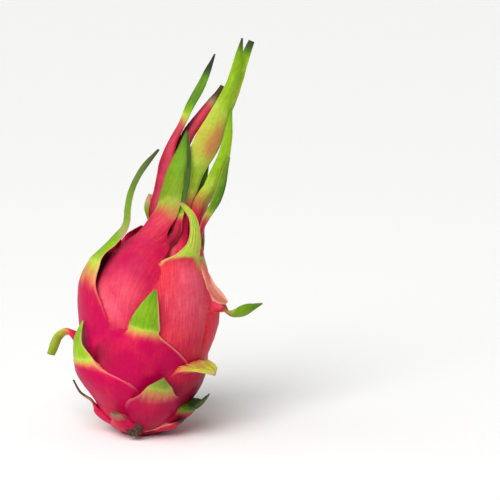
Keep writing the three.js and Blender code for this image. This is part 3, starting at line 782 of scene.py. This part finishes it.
# %% The front, from the shoulder to the belly
FRONT = [
    # the flap of the left, standing off the body, its tip a thin green strand
    dict(azimuth=-78, foot=72, rim=132, pad=33, rim_half=15, swell=9.2, rise=2, wall=3.5,
         fall=(0.55, -0.1), cup=0.7, twist=62,
         path=[(-28.6, -8, 112.6), (-18.8, -8, 121), (-12.3, -8, 128.3), (-10.8, -8, 138),
               (-8.2, -8, 149), (-2, -6, 161), (8.2, -3, 173)],
         widths=[8.4, 5, 3.2, 2.4, 2.2, 2.1, 1.9], tip=0.8, tone=0, lip=[(-0.4, 0), (-0.1, 0.6)],
         ripe=[(-0.36, 0), (-0.22, 0.2), (-0.1, 0.45), (0, 0.57), (0.1, 0.66), (0.5, 0.78),
               (0.65, 0.88), (0.9, 0.88)], dry=[(0.2, 0), (0.32, 0.2), (0.45, 0.1), (0.9, 0.1)],
         char=[(0.7, 0), (1, 0.8)]),
    # the coral one right of the middle, with a bright hooked tip
    dict(azimuth=44, foot=56, rim=138, pad=30.6, rim_half=19, swell=5, shoulder=0.62, fall=(0.5, 0.55),
         path=[(29, -26, 112), (30.4, -25.5, 120), (30.8, -24.5, 128), (29, -24, 136), (25, -24, 141.5),
               (21, -24, 145)],
         widths=[11.4, 7.8, 5.8, 4.8, 4, 3.4, 2.9, 2.4, 1.6], lip=[(-0.3, 0), (0, 0.6)],
         tone=[(-1, 0), (-0.8, 0.3), (-0.6, 0.7), (-0.3, 0.95)],
         bloom=[(-0.7, 0), (-0.5, 0.2), (-0.35, 0.85), (-0.2, 1), (0, 0.6)],
         pleat=[(-0.3, 0), (0, 0.25)],
         ripe=[(-0.22, 0.05), (-0.12, 0.25), (-0.05, 0.5), (0.03, 0.62), (0.2, 0.58), (0.5, 0.57),
               (0.85, 0.56), (1, 0.6)], dry=[(0.85, 0), (1, 0.4)],
         blush=[(-0.25, 0), (-0.12, -0.6), (0.04, -0.6), (0.12, 0)]),
    # the one right of it, which lies on its side
    dict(azimuth=74, foot=84, rim=114, roll=80, pad=18, rim_half=14, swell=4.5, rise=2, fall=(1, 0.8),
         path=[(42, -11, 82), (46, -10, 78.5)],
         widths=[9.5, 5.5], tip=1, tone=0.9, bloom=0.6),
    # and its pale edge, folded over, whose broad pale margin also paints the highlight along the fold
    dict(azimuth=62, foot=131, rim=139, roll=150, pad=5, rim_half=4, swell=4.5, twist=50,
         path=[(36.6, -16, 101), (38.2, -15, 94.3), (40.4, -13.5, 88.9), (43.8, -11.5, 84.6),
               (48.8, -9, 81.4)],
         widths=[2.8, 2.8, 3.4, 4.4, 4], tip=1.2, tone=0.95, bloom=0.6, lip=[(0.1, 2.4), (0.5, 3.5)],
         dry=0.2, ripe=[(0.5, 0.05), (0.75, 0.25), (1, 0.3)]),
    # the green triangle in the middle of the front, with painted shade on its pad's left, in the shadow
    # of its neighbour
    dict(azimuth=1, foot=50, rim=97, roll=11, pad=34, rim_half=10, swell=6, shoulder=0.7,
         fall=(1.15, 0.5), cup=0.4, length=27.5, lift=[6, 0, 4], sway=6, widths=[9, 6.8, 4.2], tone=0,
         dusk=[(-0.75, 0), (-0.45, -0.95), (-0.25, -0.9), (-0.1, 0)],
         lip=[(-0.6, 0), (-0.35, 0.55), (-0.1, 0.75)], lip_side=1, shade=[(0, 0), (0.15, 0.12)],
         ripe=[(-0.15, 0), (-0.06, 0.2), (0.03, 0.45), (0.08, 0.62), (0.25, 0.7), (0.9, 0.74),
               (1, 0.78)]),
    # its neighbour on the left
    dict(azimuth=-57, foot=36, rim=77, pad=34, rim_half=13, swell=6.5, rise=1.8, shoulder=0.75,
         fall=(0.25, 0.6),
         path=[(-41.5, -21.5, 58), (-40.3, -20.5, 65), (-36.8, -20, 73)],
         widths=[9.6, 6.6, 4], tone=0, lip=[(-0.34, 0), (-0.18, 0.3), (-0.06, 0.6)], lip_side=1,
         ripe=[(-0.1, 0), (-0.03, 0.2), (0.05, 0.5), (0.14, 0.62), (0.5, 0.67), (1, 0.72)]),
    # the strap that hangs out on the left
    dict(azimuth=-106, foot=50, rim=82, pad=22, rim_half=10, swell=5, cup=0.4, twist=60, thick=5,
         path=[(-50, 14, 57), (-55, 14, 54.8), (-57.5, 14, 49), (-59.5, 14, 44)],
         widths=[6.4, 4.4, 3.4, 3.3, 3.2], tip=2.8, tone=0.3, dry=[(0.3, 0), (0.5, 0.12)],
         ripe=[(0.15, 0.05), (0.35, 0.45), (0.5, 0.6), (1, 0.66)]),
    # the one folded down at the lower right, which shows its inner face; painted shade darkens its pad,
    # which lies in the shadow of the fold
    dict(azimuth=51, foot=40, rim=74.5, pad=26, rim_half=15, swell=5, shoulder=0.6, cup=0.4,
         length=14.2, lift=[45, 88, 96], sway=4, widths=[12, 8], tone=0.2,
         pleat=[(-0.2, 0), (0.2, 0.5)], shade=[(-1, 0.55), (-0.2, 0.55), (-0.06, 0)],
         ripe=[(-0.1, 0.05), (0, 0.24), (0.1, 0.42), (0.4, 0.5), (1, 0.52)], dry=[(0.6, 0), (1, 0.35)]),
    # the green strip that points right
    dict(azimuth=90, foot=62, rim=103, pad=18, rim_half=14, swell=7, rise=1.5, shoulder=0.3, cup=0.4,
         twist=-50,
         path=[(47.5, 1, 74), (53, 2, 71.5), (61, 3, 74.5), (70, 4, 78)],
         widths=[9, 7, 5.6, 4.6, 2.6], tone=0.8, bloom=[(-0.5, 0), (-0.2, 0.6), (0, 0.6)],
         ripe=[(0, 0.1), (0.15, 0.4), (0.3, 0.68), (1, 0.84)]),
]
print("front:", len(FRONT), "scales")


# %% Round the stem end
STEM_END_SCALES = [
    # the tan and green triangle low in the middle, its pad darkened low down by painted shade
    dict(azimuth=14, foot=18, rim=58, pad=17, rim_half=16, swell=6, shoulder=0.6, fall=(0.85, 0.85),
         taper=1.0, length=23, lift=[14, 6, 6], sway=11, widths=[11.6, 7.4], tone=0.1,
         lip=[(-0.1, 0), (0, 0.3)], shade=[(-1, 0.4), (-0.1, 0.2), (0.2, 0.1), (0.6, 0.25)],
         ripe=[(-0.05, 0), (0.1, 0.12), (0.3, 0.3), (0.5, 0.44), (0.65, 0.6), (0.8, 0.7), (1, 0.72)],
         dry=[(0, 0), (0.2, 0.14)]),
    # the small dried one left of the stem
    dict(azimuth=-26, foot=20, rim=46, pad=13, rim_half=5.5, swell=5.6, length=8, lift=[0, 0, 0],
         widths=[5, 4.4], tip=2.6, tone=0.3, dry=[(0, 0), (0.35, 0.2), (1, 0.34)],
         shade=[(0, 0), (0.4, 0.42)], char=[(0.7, 0), (1, 0.6)]),
    # the one right of it, black at its tip
    dict(azimuth=50, foot=24, rim=38, pad=14, rim_half=9, swell=4.4, length=12, lift=[20, 10, 10],
         widths=[6, 3], tone=0.3, lip=0.8, char=[(0.3, 0), (0.6, 0.95)]),
    # a thin dried strand on the left
    dict(azimuth=-78, foot=24, rim=46, pad=14, rim_half=6, swell=4, cup=0.4,
         path=[(-33, -8, 19.5), (-40.5, -8, 26), (-44.5, -8, 33.5)],
         widths=[3.4, 1.8, 1.2, 0.9], tone=0.2, dry=[(0.2, 0), (0.45, 0.5), (1, 0.7)],
         char=[(0.3, 0), (0.55, 0.6)]),
    # and a dark green one at the lower right, darkened further by painted shade where it lies in shadow
    dict(azimuth=70, foot=26, rim=50, pad=20, rim_half=11, swell=6, cup=0.4, length=13,
         lift=[30, 10, 0], widths=[10, 8.4], tip=4, tone=0.2, shade=[(-0.3, 0.1), (0, 0.6)],
         char=[(-0.1, 0), (0.2, 0.4), (0.5, 0.2)], ripe=[(-0.2, 0.1), (0.05, 0.6), (0.3, 0.84)]),
]
print("stem end:", len(STEM_END_SCALES), "scales")


# %% [markdown]
# The back is plainer, so its scales stand in four rings: each ring says between which
# azimuths its scales are spread, and small steps of the counters keep them from being
# copies of one another.

# %% The scales of the back, by rule
BACK_RINGS = [
    dict(rim=136, start=132, end=188, count=3, foot=84, pad=24, rim_half=11, swell=6, length=34),
    dict(rim=104, start=152, end=212, count=2, foot=56, pad=28, rim_half=11, swell=6, length=32),
    dict(rim=76, start=120, end=218, count=3, foot=38, pad=24, rim_half=10, swell=5, length=24),
    dict(rim=50, start=132, end=236, count=3, foot=24, pad=19, rim_half=9, swell=4, length=16),
]


def back_scales():
    made = []
    for row, ring in enumerate(BACK_RINGS):
        sizes = {name: ring[name] for name in ("rim", "foot", "pad", "rim_half", "swell", "length")}
        for i in range(ring["count"]):
            by_two, by_three = (i + row) % 2, (i + row) % 3
            made.append(dict(
                sizes,
                azimuth=mix(ring["start"], ring["end"], i / (ring["count"] - 1)),
                shoulder=0.65,
                lift=[10 + 6 * by_two, 18, 34 - 10 * by_three],
                sway=8 * by_three - 8,
                widths=[share * ring["rim_half"] for share in (0.7, 0.46, 0.26)],
                tone=0.2 + 0.12 * by_three,
                lip=[(-0.5, 0), (-0.1, 0.8)],
                ripe=[(-0.2, 0), (-0.05, 0.25), (0.05, 0.5), (0.2, 0.66), (0.9, 0.74), (1, 0.85)],
                dry=[(0.85, 0), (1, 0.3 + 0.2 * by_three)],
            ))
    return made


SCALES = [*CROWN, *FRONT, *STEM_END_SCALES, *back_scales()]
print(len(SCALES), "scales")


# %% [markdown]
# ## Waxy skin
# A ripe pitaya's skin is a thin, waxy rind, magenta to coral, that turns over orange and
# yellow to green in the free parts of the scales, and dries to tan and black at their
# tips. Wax gives it a soft, broad shine. The colour follows how far along its scale a
# place is, so it is read from the amounts stored on the mesh, and noise breaks the changes
# up. A painted image could do that too, but it would tie the colours to one unwrapping.
#
# Two kinds of noise are used. Streaks and fine lines run lengthwise, as the veins do, so
# their noise is stretched along the scale and starts anew on each. The others lie in the
# fruit's own space: soft clouds of colour, mottling, pores and patches of cork. Real pores
# and the finest veins are too small to be seen from here, so these are drawn coarser, just
# enough to show.

# %% The skin's colours and the sizes of its patterns
MAGENTA = "#B60046"
CORAL = "#D42C3C"
WAX_AND_HIGHLIGHT_PINK = "#E0566C"
VEIN_RED = "#98002E"
PALE_LINE = "#EE7A86"
PALE_MARGIN = "#F6A78C"
BLACKENED = "#2B2C24"
CORK = "#4A1C18"
RIPE_STOPS = [
    (0.30, "#CC5446"), (0.42, "#C4894A"), (0.50, "#B8AE40"), (0.57, "#AFC446"),
    (0.64, "#8DB021"), (0.74, "#6A9A19"), (0.88, "#4A6E22"), (1.00, "#33491C"),
]
DRY_STOPS = [(0.3, "#C29A78"), (0.5, "#A5805E"), (0.75, "#5F4330"), (1.0, "#251A16")]
STREAK_WIDTH = 1.6 * MM
STREAK_LENGTH = 12 * MM
LINE_WIDTH = 0.9 * MM
CLOUD_SIZE = 16 * MM
MOTTLE_SIZE = 2.2 * MM
PORE_SIZE = 0.9 * MM
CORK_PATCH = 7 * MM
CORK_HEIGHT = 10 * MM
LIP_WIDTH = 2.2 * MM
KIN_STEP = 17.0


def empty_material(name):
    material = bpy.data.materials.new(name)
    material.use_nodes = True
    material.node_tree.nodes.clear()
    return material


def set_ramp(ramp, colour_stops):
    while len(ramp.elements) > 1:
        ramp.elements.remove(ramp.elements[-1])
    for i, (place, colour) in enumerate(colour_stops):
        element = ramp.elements[0] if i == 0 else ramp.elements.new(place)
        element.position = place
        element.color = linear(colour)


# %% What the skin reads and its noises
def skin_patterns(add):
    read = {name: add("ShaderNodeAttribute", attribute_name=name).outputs["Fac"]
            for name in [*PAINT, "side", "edge", "along", "half"]}
    noise = {}
    sideways = add(MATH, [read["side"], read["half"]], "MULTIPLY")
    lengthwise = add(MATH, [read["along"], 1 / STREAK_LENGTH], "MULTIPLY")
    other = add(MATH, [read["kin"], KIN_STEP], "MULTIPLY")
    for name, width, detail in (("streaks", STREAK_WIDTH, 3.0), ("lines", LINE_WIDTH, 2.0)):
        narrow = add(MATH, [sideways, 1 / width], "MULTIPLY")
        place = add(JOIN_XYZ, [narrow, lengthwise, other])
        noise[name] = add(NOISE, {"Vector": place, "Scale": 1.0, "Detail": detail})
    here = add("ShaderNodeTexCoord").outputs["Object"]
    for name, size, detail, roughness in (
        ("clouds", CLOUD_SIZE, 3.0, 0.5), ("mottle", MOTTLE_SIZE, 4.0, 0.6),
        ("pores", PORE_SIZE, 2.0, 0.5), ("patches", CORK_PATCH, 3.0, 0.5),
    ):
        noise[name] = add(NOISE, {"Vector": here, "Scale": 1 / size, "Detail": detail,
                                  "Roughness": roughness})
    return read, noise, here


# %% [markdown]
# How green a place is comes from the stored amount, broken up by the streaks and clouds.
# A blush is taken off it, strongest a little to one side of the scale's middle.

# %% How green it is
def how_green(add, read, noise, broken):
    drift = add(MAP_RANGE, [noise["clouds"], 0.3, 0.7, -0.04, 0.04])
    chosen = add(MATH, [read["blush"]], "SIGN")
    one_side = add(MATH, [read["side"], chosen, -0.4], "MULTIPLY_ADD")
    away = add(MATH, [one_side], "ABSOLUTE")
    spot = add(MAP_RANGE, [away, 0.9, 0.1, 0.0, 1.0], interpolation_type="SMOOTHSTEP")
    strength = add(MATH, [read["blush"]], "ABSOLUTE")
    blush = add(MATH, [spot, strength], "MULTIPLY")
    both = add(MATH, [broken, drift], "ADD")
    shifted = add(MATH, [read["ripe"], both], "ADD")
    return add(MATH, [shifted, blush], "SUBTRACT", use_clamp=True)


# %% [markdown]
# The red goes from magenta to coral in soft clouds. The wax that lies on it is pale, and it also
# paints a soft highlight: it is strongest in a scale's middle and thins out towards the edges.
# Fine lines run through it, some deeper and some paler.

# %% The red of the skin
def skin_red(add, read, noise):
    wander = add(MAP_RANGE, [noise["clouds"], 0.3, 0.7, -0.3, 0.3])
    tone = add(MATH, [read["tone"], wander], "ADD", use_clamp=True)
    deep = add(MIX, [tone, linear(MAGENTA), linear(CORAL)], data_type="RGBA")
    # the pale wax, partly a painted highlight, is laid on most in a scale's middle
    middle = add(MAP_RANGE, [read["edge"], 0.95, 0.1, 0.0, 1.0], interpolation_type="SMOOTHSTEP")
    patchy = add(MAP_RANGE, [noise["clouds"], 0.3, 0.6, 0.35, 1.0])
    pale_middle = add(MATH, [middle, patchy], "MULTIPLY")
    bloom = add(MATH, [pale_middle, read["bloom"]], "MULTIPLY")
    with_wax_and_highlight = add(MIX, [bloom, deep, linear(WAX_AND_HIGHLIGHT_PINK)], data_type="RGBA")
    deeper = add(MAP_RANGE, [noise["lines"], 0.5, 0.3, 0.0, 0.16])
    lined = add(MIX, [deeper, with_wax_and_highlight, linear(VEIN_RED)], data_type="RGBA")
    palest = add(MATH, [tone, 0.3], "MULTIPLY")
    paler = add(MAP_RANGE, [noise["lines"], 0.5, 0.75, 0.0, palest])
    return add(MIX, [paler, lined, linear(PALE_LINE)], data_type="RGBA")


# %% [markdown]
# A scale's raised edge is thin and pale. Its width is a real one, so that it is a narrow
# line on a broad scale, and at most a fifth of a slender one. A lip amount over 1 makes
# it broader.

# %% The pale margin
def how_pale(add, read):
    broad = add(MATH, [read["lip"], 1.0], "MAXIMUM")
    share = add(MATH, [LIP_WIDTH, read["half"]], "DIVIDE")
    least = add(MATH, [share, 0.2], "MINIMUM")
    width = add(MATH, [broad, least], "MULTIPLY")
    inner = add(MATH, [1.0, width], "SUBTRACT")
    margin = add(MAP_RANGE, [read["edge"], inner, 1.0, 0.0, 0.7], interpolation_type="SMOOTHSTEP")
    which_edge = add(MATH, [read["lip_side"], read["side"], 1.0], "MULTIPLY_ADD", use_clamp=True)
    lip = add(MATH, [which_edge, read["lip"]], "MULTIPLY")
    return add(MATH, [margin, lip], "MULTIPLY", use_clamp=True)


# %% [markdown]
# The lowest few millimetres, round the stem, are corky in patches, more so the lower they
# are. Where the light hardly gets in, shade and dusk paint shade that darkens what is there.

# %% Cork and shade
def how_corky(add, noise, here):
    height = add(SPLIT_XYZ, [here]).outputs["Z"]
    low = add(MAP_RANGE, [height, 0.0, CORK_HEIGHT, 0.26, -0.25])
    corky = add(MATH, [noise["patches"], low], "ADD")
    return add(MAP_RANGE, [corky, 0.62, 0.74, 0.0, 0.85], interpolation_type="SMOOTHSTEP")


def how_light(add, read, noise):
    # the speckle is the skin's own mottling; shade and dusk are painted shade
    speck = add(MAP_RANGE, [noise["mottle"], 0.3, 0.7, 0.9, 1.08])
    gloom = add(MATH, [read["dusk"], read["shade"]], "ADD", use_clamp=True)
    lighter = add(MATH, [1.0, gloom], "SUBTRACT")
    return add(MATH, [speck, lighter], "MULTIPLY")


# %% [markdown]
# The layers are mixed over each other in the order in which they grow: red, green, the
# pale margin, husk, blackened tips and cork. Wax is smoother than the husk, and veins and
# pores stand out a little.

# %% The skin's material
def waxy_skin():
    material = empty_material("waxy pitaya skin")
    add = partial(node, material.node_tree)
    read, noise, here = skin_patterns(add)
    broken = add(MAP_RANGE, [noise["streaks"], 0.3, 0.7, -0.035, 0.035])
    green = how_green(add, read, noise, broken)
    leaf = add("ShaderNodeValToRGB", [green])
    set_ramp(leaf.color_ramp, RIPE_STOPS)
    husk = add("ShaderNodeValToRGB", [read["dry"]])
    set_ramp(husk.color_ramp, DRY_STOPS)
    turned = add(MAP_RANGE, [green, 0.18, 0.4, 0.0, 1.0], interpolation_type="SMOOTHSTEP")
    dried = add(MATH, [read["dry"], broken], "ADD")
    how_dry = add(MAP_RANGE, [dried, 0.05, 0.4, 0.0, 1.0], interpolation_type="SMOOTHSTEP")
    charring = add(MATH, [read["char"], broken], "ADD")
    how_black = add(MAP_RANGE, [charring, 0.1, 0.9, 0.0, 1.0])
    colour = skin_red(add, read, noise)
    for share, layer in (
        (turned, leaf), (how_pale(add, read), linear(PALE_MARGIN)), (how_dry, husk),
        (how_black, linear(BLACKENED)), (how_corky(add, noise, here), linear(CORK)),
    ):
        colour = add(MIX, [share, colour, layer], data_type="RGBA")
    lit = add(VECTOR_MATH, [colour, how_light(add, read, noise)], "SCALE")
    gloss = add(MAP_RANGE, [noise["mottle"], 0.3, 0.7, 0.36, 0.5])
    rough = add(MIX, [how_dry, gloss, 0.85])
    relief = add(MATH, [noise["pores"], 0.3, noise["streaks"]], "MULTIPLY_ADD")
    bump = add("ShaderNodeBump", {"Height": relief, "Strength": 0.35, "Distance": 0.5 * MM})
    shader = add("ShaderNodeBsdfPrincipled", {
        "Base Color": lit, "Roughness": rough, "Normal": bump, "IOR": 1.45, "Specular IOR Level": 0.1,
    })
    add("ShaderNodeOutputMaterial", {"Surface": shader})
    return material


skin_material = waxy_skin()
print("skin:", len(skin_material.node_tree.nodes), "nodes")


# %% [markdown]
# ## Bark of the stem stub
# The stub is the cut end of a cactus stem: dry, brown and fibrous, and dull all over. Its
# noise is drawn out into fibres, and the same noise makes its furrows and darkens them, partly
# as the bark's own colour and partly as painted shade.

# %% The bark's material
FIBRE_WIDTH = 1.2 * MM
FIBRE_LENGTH = 6 * MM
BARK_STOPS = [(0.3, "#160C08"), (0.5, "#382211"), (0.7, "#614A2A")]


def stem_bark():
    material = empty_material("dry stem bark")
    add = partial(node, material.node_tree)
    here = add("ShaderNodeTexCoord").outputs["Object"]
    fibres = add("ShaderNodeMapping", {
        "Vector": here, "Scale": (1 / FIBRE_WIDTH, 1 / FIBRE_LENGTH, 1 / FIBRE_WIDTH),
    })
    grain = add(NOISE, {"Vector": fibres, "Scale": 1.0, "Detail": 4.0})
    # the furrows are dark partly in the bark's own colour and partly as painted shade
    colours = add("ShaderNodeValToRGB", [grain])
    set_ramp(colours.color_ramp, BARK_STOPS)
    bump = add("ShaderNodeBump", {"Height": grain, "Strength": 0.7, "Distance": 0.8 * MM})
    shader = add("ShaderNodeBsdfPrincipled", {"Base Color": colours, "Roughness": 0.85, "Normal": bump})
    add("ShaderNodeOutputMaterial", {"Surface": shader})
    return material


bark_material = stem_bark()
print("bark:", len(bark_material.node_tree.nodes), "nodes")


# %% [markdown]
# ## Growing the fruit
# A modifier runs each tree. The rows are handed over as a chain of points that carry
# their numbers as attributes. The result is copied into a plain mesh, and the modifier
# goes.

# %% Run a tree and keep the mesh
def keep_result(owner):
    seen = bpy.context.evaluated_depsgraph_get()
    mesh = bpy.data.meshes.new_from_object(owner.evaluated_get(seen), depsgraph=seen)
    owner.modifiers.clear()
    owner.data = mesh


def grow(name, tree, source, values):
    carrier = new_object(name, source)
    modifier = carrier.modifiers.new(name, "NODES")
    modifier.node_group = tree
    for item in tree.interface.items_tree:
        if item.in_out == "INPUT" and item.name in values:
            modifier[item.identifier] = values[item.name]
    keep_result(carrier)
    carrier.data.name = name
    # a primitive's mesh starts with an empty material slot, which isn't wanted
    carrier.data.materials.clear()
    carrier.data.materials.append(values["Material"])
    return carrier


# %% Write the rows down as a chain
IN_MM = ["wide", "droop", "depth", "half", "along", "pleat", "wave"]


def chain_of(rows, name):
    mesh = bpy.data.meshes.new(name)
    mesh.from_pydata([row["at"] * MM for row in rows], [(i, i + 1) for i in range(len(rows) - 1)], [])
    for key in [*ROW_VECTORS, *ROW_NUMBERS, *PAINT]:
        unit = MM if key in IN_MM else 1
        made = mesh.attributes.new(key, kind_of(key), "POINT")
        if key in ROW_VECTORS:
            made.data.foreach_set("vector", [x * unit for row in rows for x in row[key]])
        else:
            made.data.foreach_set("value", [row[key] * unit for row in rows])
    return mesh


# %% Grow the body and every scale
body = grow("body", body_tree, bpy.data.meshes.new("body"), {"Material": skin_material})
leaves = []
for i, scale in enumerate(SCALES):
    chain = chain_of(scale_rows(**dict(scale, kin=i)), f"rows_{i}")
    leaves.append(grow(f"scale_{i}", scale_tree, chain, {"Material": skin_material, "Seed": float(i)}))
print("body:", len(body.data.polygons), "faces; scales:", sum(len(o.data.polygons) for o in leaves))


# %% [markdown]
# ## The stem stub
# The stub is short and a little crooked, so a cone is enough, with a few coarse and fine
# ribs round it.

# %% The stub
STEM_ROOT = Vector((-4, -8, 9))
STEM_CUT = Vector((-7, -25.3, 8))
STEM_RADIUS = 6
STEM_CUT_RADIUS = 4.9
COARSE_RIBS = 5
COARSE_DEPTH = 0.06
COARSE_PHASE = 0.7
FINE_RIBS = 11
FINE_DEPTH = 0.03
FINE_TWIST = 3


def mesh_object(name, points, faces, material):
    mesh = bpy.data.meshes.new(name)
    mesh.from_pydata(points, [], faces)
    mesh.materials.append(material)
    return new_object(name, mesh)


def stem_stub(sides=36, rings=14):
    axis = STEM_CUT - STEM_ROOT
    side = axis.cross(Vector((0, 0, 1))).normalized()
    up = side.cross(axis).normalized()
    points = []
    faces = []
    for j in range(rings + 1):
        share = j / rings
        for i in range(sides):
            turn = 2 * math.pi * i / sides
            coarse = COARSE_DEPTH * math.sin(COARSE_RIBS * turn + COARSE_PHASE)
            fine = FINE_DEPTH * math.sin(FINE_RIBS * turn + FINE_TWIST * share)
            radius = mix(STEM_RADIUS, STEM_CUT_RADIUS, share) * (1 + coarse + fine)
            centre = STEM_ROOT + axis * share
            points.append((centre + (side * math.cos(turn) + up * math.sin(turn)) * radius) * MM)
            if j < rings:
                a, b = j * sides + i, j * sides + (i + 1) % sides
                faces.append((a, b, b + sides, a + sides))
    faces.append(tuple(range(sides - 1, -1, -1)))
    faces.append(tuple(rings * sides + i for i in range(sides)))
    return mesh_object("stem_stub", points, faces, bark_material)


stub = stem_stub()
print("stub:", len(stub.data.polygons), "faces")


# %% [markdown]
# ## One piece
# The fruit grew as one, so body, scales and stub are joined into one closed surface by a
# boolean union. The Manifold solver keeps the stored amounts and the materials, which the
# Exact one would lose. A block under the floor takes off what sags below the flat spot.

# %% Join them
def boolean(target, operation, others, name):
    group = bpy.data.collections.new(name)
    for other in others:
        bpy.context.collection.objects.unlink(other)
        group.objects.link(other)
    bpy.context.scene.collection.children.link(group)
    modifier = target.modifiers.new(name, "BOOLEAN")
    modifier.operation = operation
    modifier.solver = "MANIFOLD"
    modifier.operand_type = "COLLECTION"
    modifier.collection = group
    modifier.material_mode = "TRANSFER"
    keep_result(target)
    for other in others:
        bpy.data.objects.remove(other)
    bpy.data.collections.remove(group)


def block_below(size=0.4, depth=0.06):
    corners = [(x * size / 2, y * size / 2, z) for z in (-depth, 0) for y in (-1, 1) for x in (-1, 1)]
    faces = [(0, 2, 3, 1), (4, 5, 7, 6), (0, 1, 5, 4), (2, 6, 7, 3), (0, 4, 6, 2), (1, 3, 7, 5)]
    return mesh_object("ground", corners, faces, skin_material)


boolean(body, "UNION", [*leaves, stub], "grown")
boolean(body, "DIFFERENCE", [block_below()], "cut flat")
print("joined:", len(body.data.vertices), "points")


# %% [markdown]
# Joining so many scales can leave crumbs: tiny closed shells that touch nothing. Only the
# largest connected part stays.

# %% Take the crumbs away
def keep_largest(mesh):
    work = bmesh.new()
    work.from_mesh(mesh)
    parts = []
    waiting = set(work.verts)
    while waiting:
        reached = [waiting.pop()]
        for vertex in reached:
            for edge in vertex.link_edges:
                other = edge.other_vert(vertex)
                if other in waiting:
                    waiting.remove(other)
                    reached.append(other)
        parts.append(reached)
    parts.sort(key=len)
    bmesh.ops.delete(work, geom=[vertex for part in parts[:-1] for vertex in part], context="VERTS")
    work.to_mesh(mesh)
    work.free()
    return len(parts) - 1


print("crumbs taken away:", keep_largest(body.data))


# %% [markdown]
# Where two leaves cut each other, the union makes new points that know no amounts. The
# attribute `grown`, which is 1 on every other point, gives them away. They take the mean
# of their neighbours, seam by seam, until all are known. Then the soft amounts are
# averaged with the neighbours' a few times, so that scales which touch run into each
# other a little, as they do on one skin.

# %% Heal the seams
BLEND_STEPS = 3
BLENDED = ("tone", "bloom", "shade", "dusk")


def heal_seams(mesh):
    names = [*PAINT, "side", "edge", "along", "half", "grown"]
    count = len(mesh.vertices)
    amounts = np.zeros((len(names), count), np.float32)
    for i, name in enumerate(names):
        mesh.attributes[name].data.foreach_get("value", amounts[i])
    ends = np.empty(len(mesh.edges) * 2, np.int32)
    mesh.edges.foreach_get("vertices", ends)
    ends = np.concatenate([ends.reshape(-1, 2), ends.reshape(-1, 2)[:, ::-1]])
    known = amounts[-1] > 0
    made = int((~known).sum())
    while True:
        useful = ends[known[ends[:, 0]] & ~known[ends[:, 1]]]
        if not len(useful):
            break
        neighbours = np.bincount(useful[:, 1], minlength=count)
        reached = neighbours > 0
        for i in range(len(names)):
            total = np.bincount(useful[:, 1], amounts[i][useful[:, 0]], minlength=count)
            amounts[i][reached] = total[reached] / neighbours[reached]
        known |= reached
    both = np.bincount(ends[:, 1], minlength=count) + 1
    for i in [names.index(name) for name in BLENDED]:
        for _ in range(BLEND_STEPS):
            total = np.bincount(ends[:, 1], amounts[i][ends[:, 0]], minlength=count)
            amounts[i] = (amounts[i] + total) / both
    for i, name in enumerate(names):
        mesh.attributes[name].data.foreach_set("value", amounts[i])
    mesh.attributes.remove(mesh.attributes["grown"])
    return made


print("seam points healed:", heal_seams(body.data))


# %% Name the fruit and crease its edges
CREASE = math.radians(40)

fruit = body
fruit.name = "fruit"
fruit.data.name = "fruit"
fruit.data.shade_smooth()
fruit.data.set_sharp_from_angle(angle=CREASE)
triangles = sum(len(face.vertices) - 2 for face in fruit.data.polygons)
print("fruit:", triangles, "triangles,", [m.name for m in fruit.data.materials])


# %% [markdown]
# ## Table and light
# The floor is a board painted matt white, which shows a shadow and no shine. Wide, soft
# lights stand at the front and the left, as in a small studio: small, hard ones would show
# as hard spots in the wax.

# %% The floor
FLOOR_HALF = 6


def pale_floor():
    material = bpy.data.materials.new("matt white board")
    material.use_nodes = True
    surface = material.node_tree.nodes["Principled BSDF"]
    surface.inputs["Base Color"].default_value = linear("#FFFFFE")
    surface.inputs["Roughness"].default_value = 0.9
    corners = [(x * FLOOR_HALF, y * FLOOR_HALF, 0) for x, y in ((-1, -1), (1, -1), (1, 1), (-1, 1))]
    return mesh_object("floor", corners, [(0, 1, 2, 3)], material)


floor = pale_floor()


# %% The lights
def soft_light(name, place, size, power):
    data = bpy.data.lights.new(name, "AREA")
    data.shape = "SQUARE"
    data.size = size
    data.energy = power
    lamp = new_object(name, data)
    lamp.location = place
    lamp.rotation_euler = (Vector(place) - CAMERA_AIM).to_track_quat("Z", "Y").to_euler()


def wide_sun(name, towards, strength, spread):
    data = bpy.data.lights.new(name, "SUN")
    data.energy = strength
    data.angle = math.radians(spread)
    new_object(name, data).rotation_euler = Vector(towards).to_track_quat("Z", "Y").to_euler()


wide_sun("key light", (-0.25, -0.8, 0.85), strength=2.4, spread=45)
wide_sun("fill light", (-0.9, -0.25, 0.45), strength=0.7, spread=70)
soft_light("window", (-0.5, -0.9, 0.7), size=0.5, power=3)
world = bpy.data.worlds.new("studio")
world.use_nodes = True
background = world.node_tree.nodes["Background"]
background.inputs["Color"].default_value = linear("#FFFFFF")
background.inputs["Strength"].default_value = 0.3
bpy.context.scene.world = world
bpy.context.scene.view_settings.view_transform = "Standard"
print("lights:", [light.name for light in bpy.data.lights])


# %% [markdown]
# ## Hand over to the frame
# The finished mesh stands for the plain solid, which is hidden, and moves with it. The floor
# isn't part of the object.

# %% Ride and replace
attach(fruit, "root")
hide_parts("dragon_fruit")
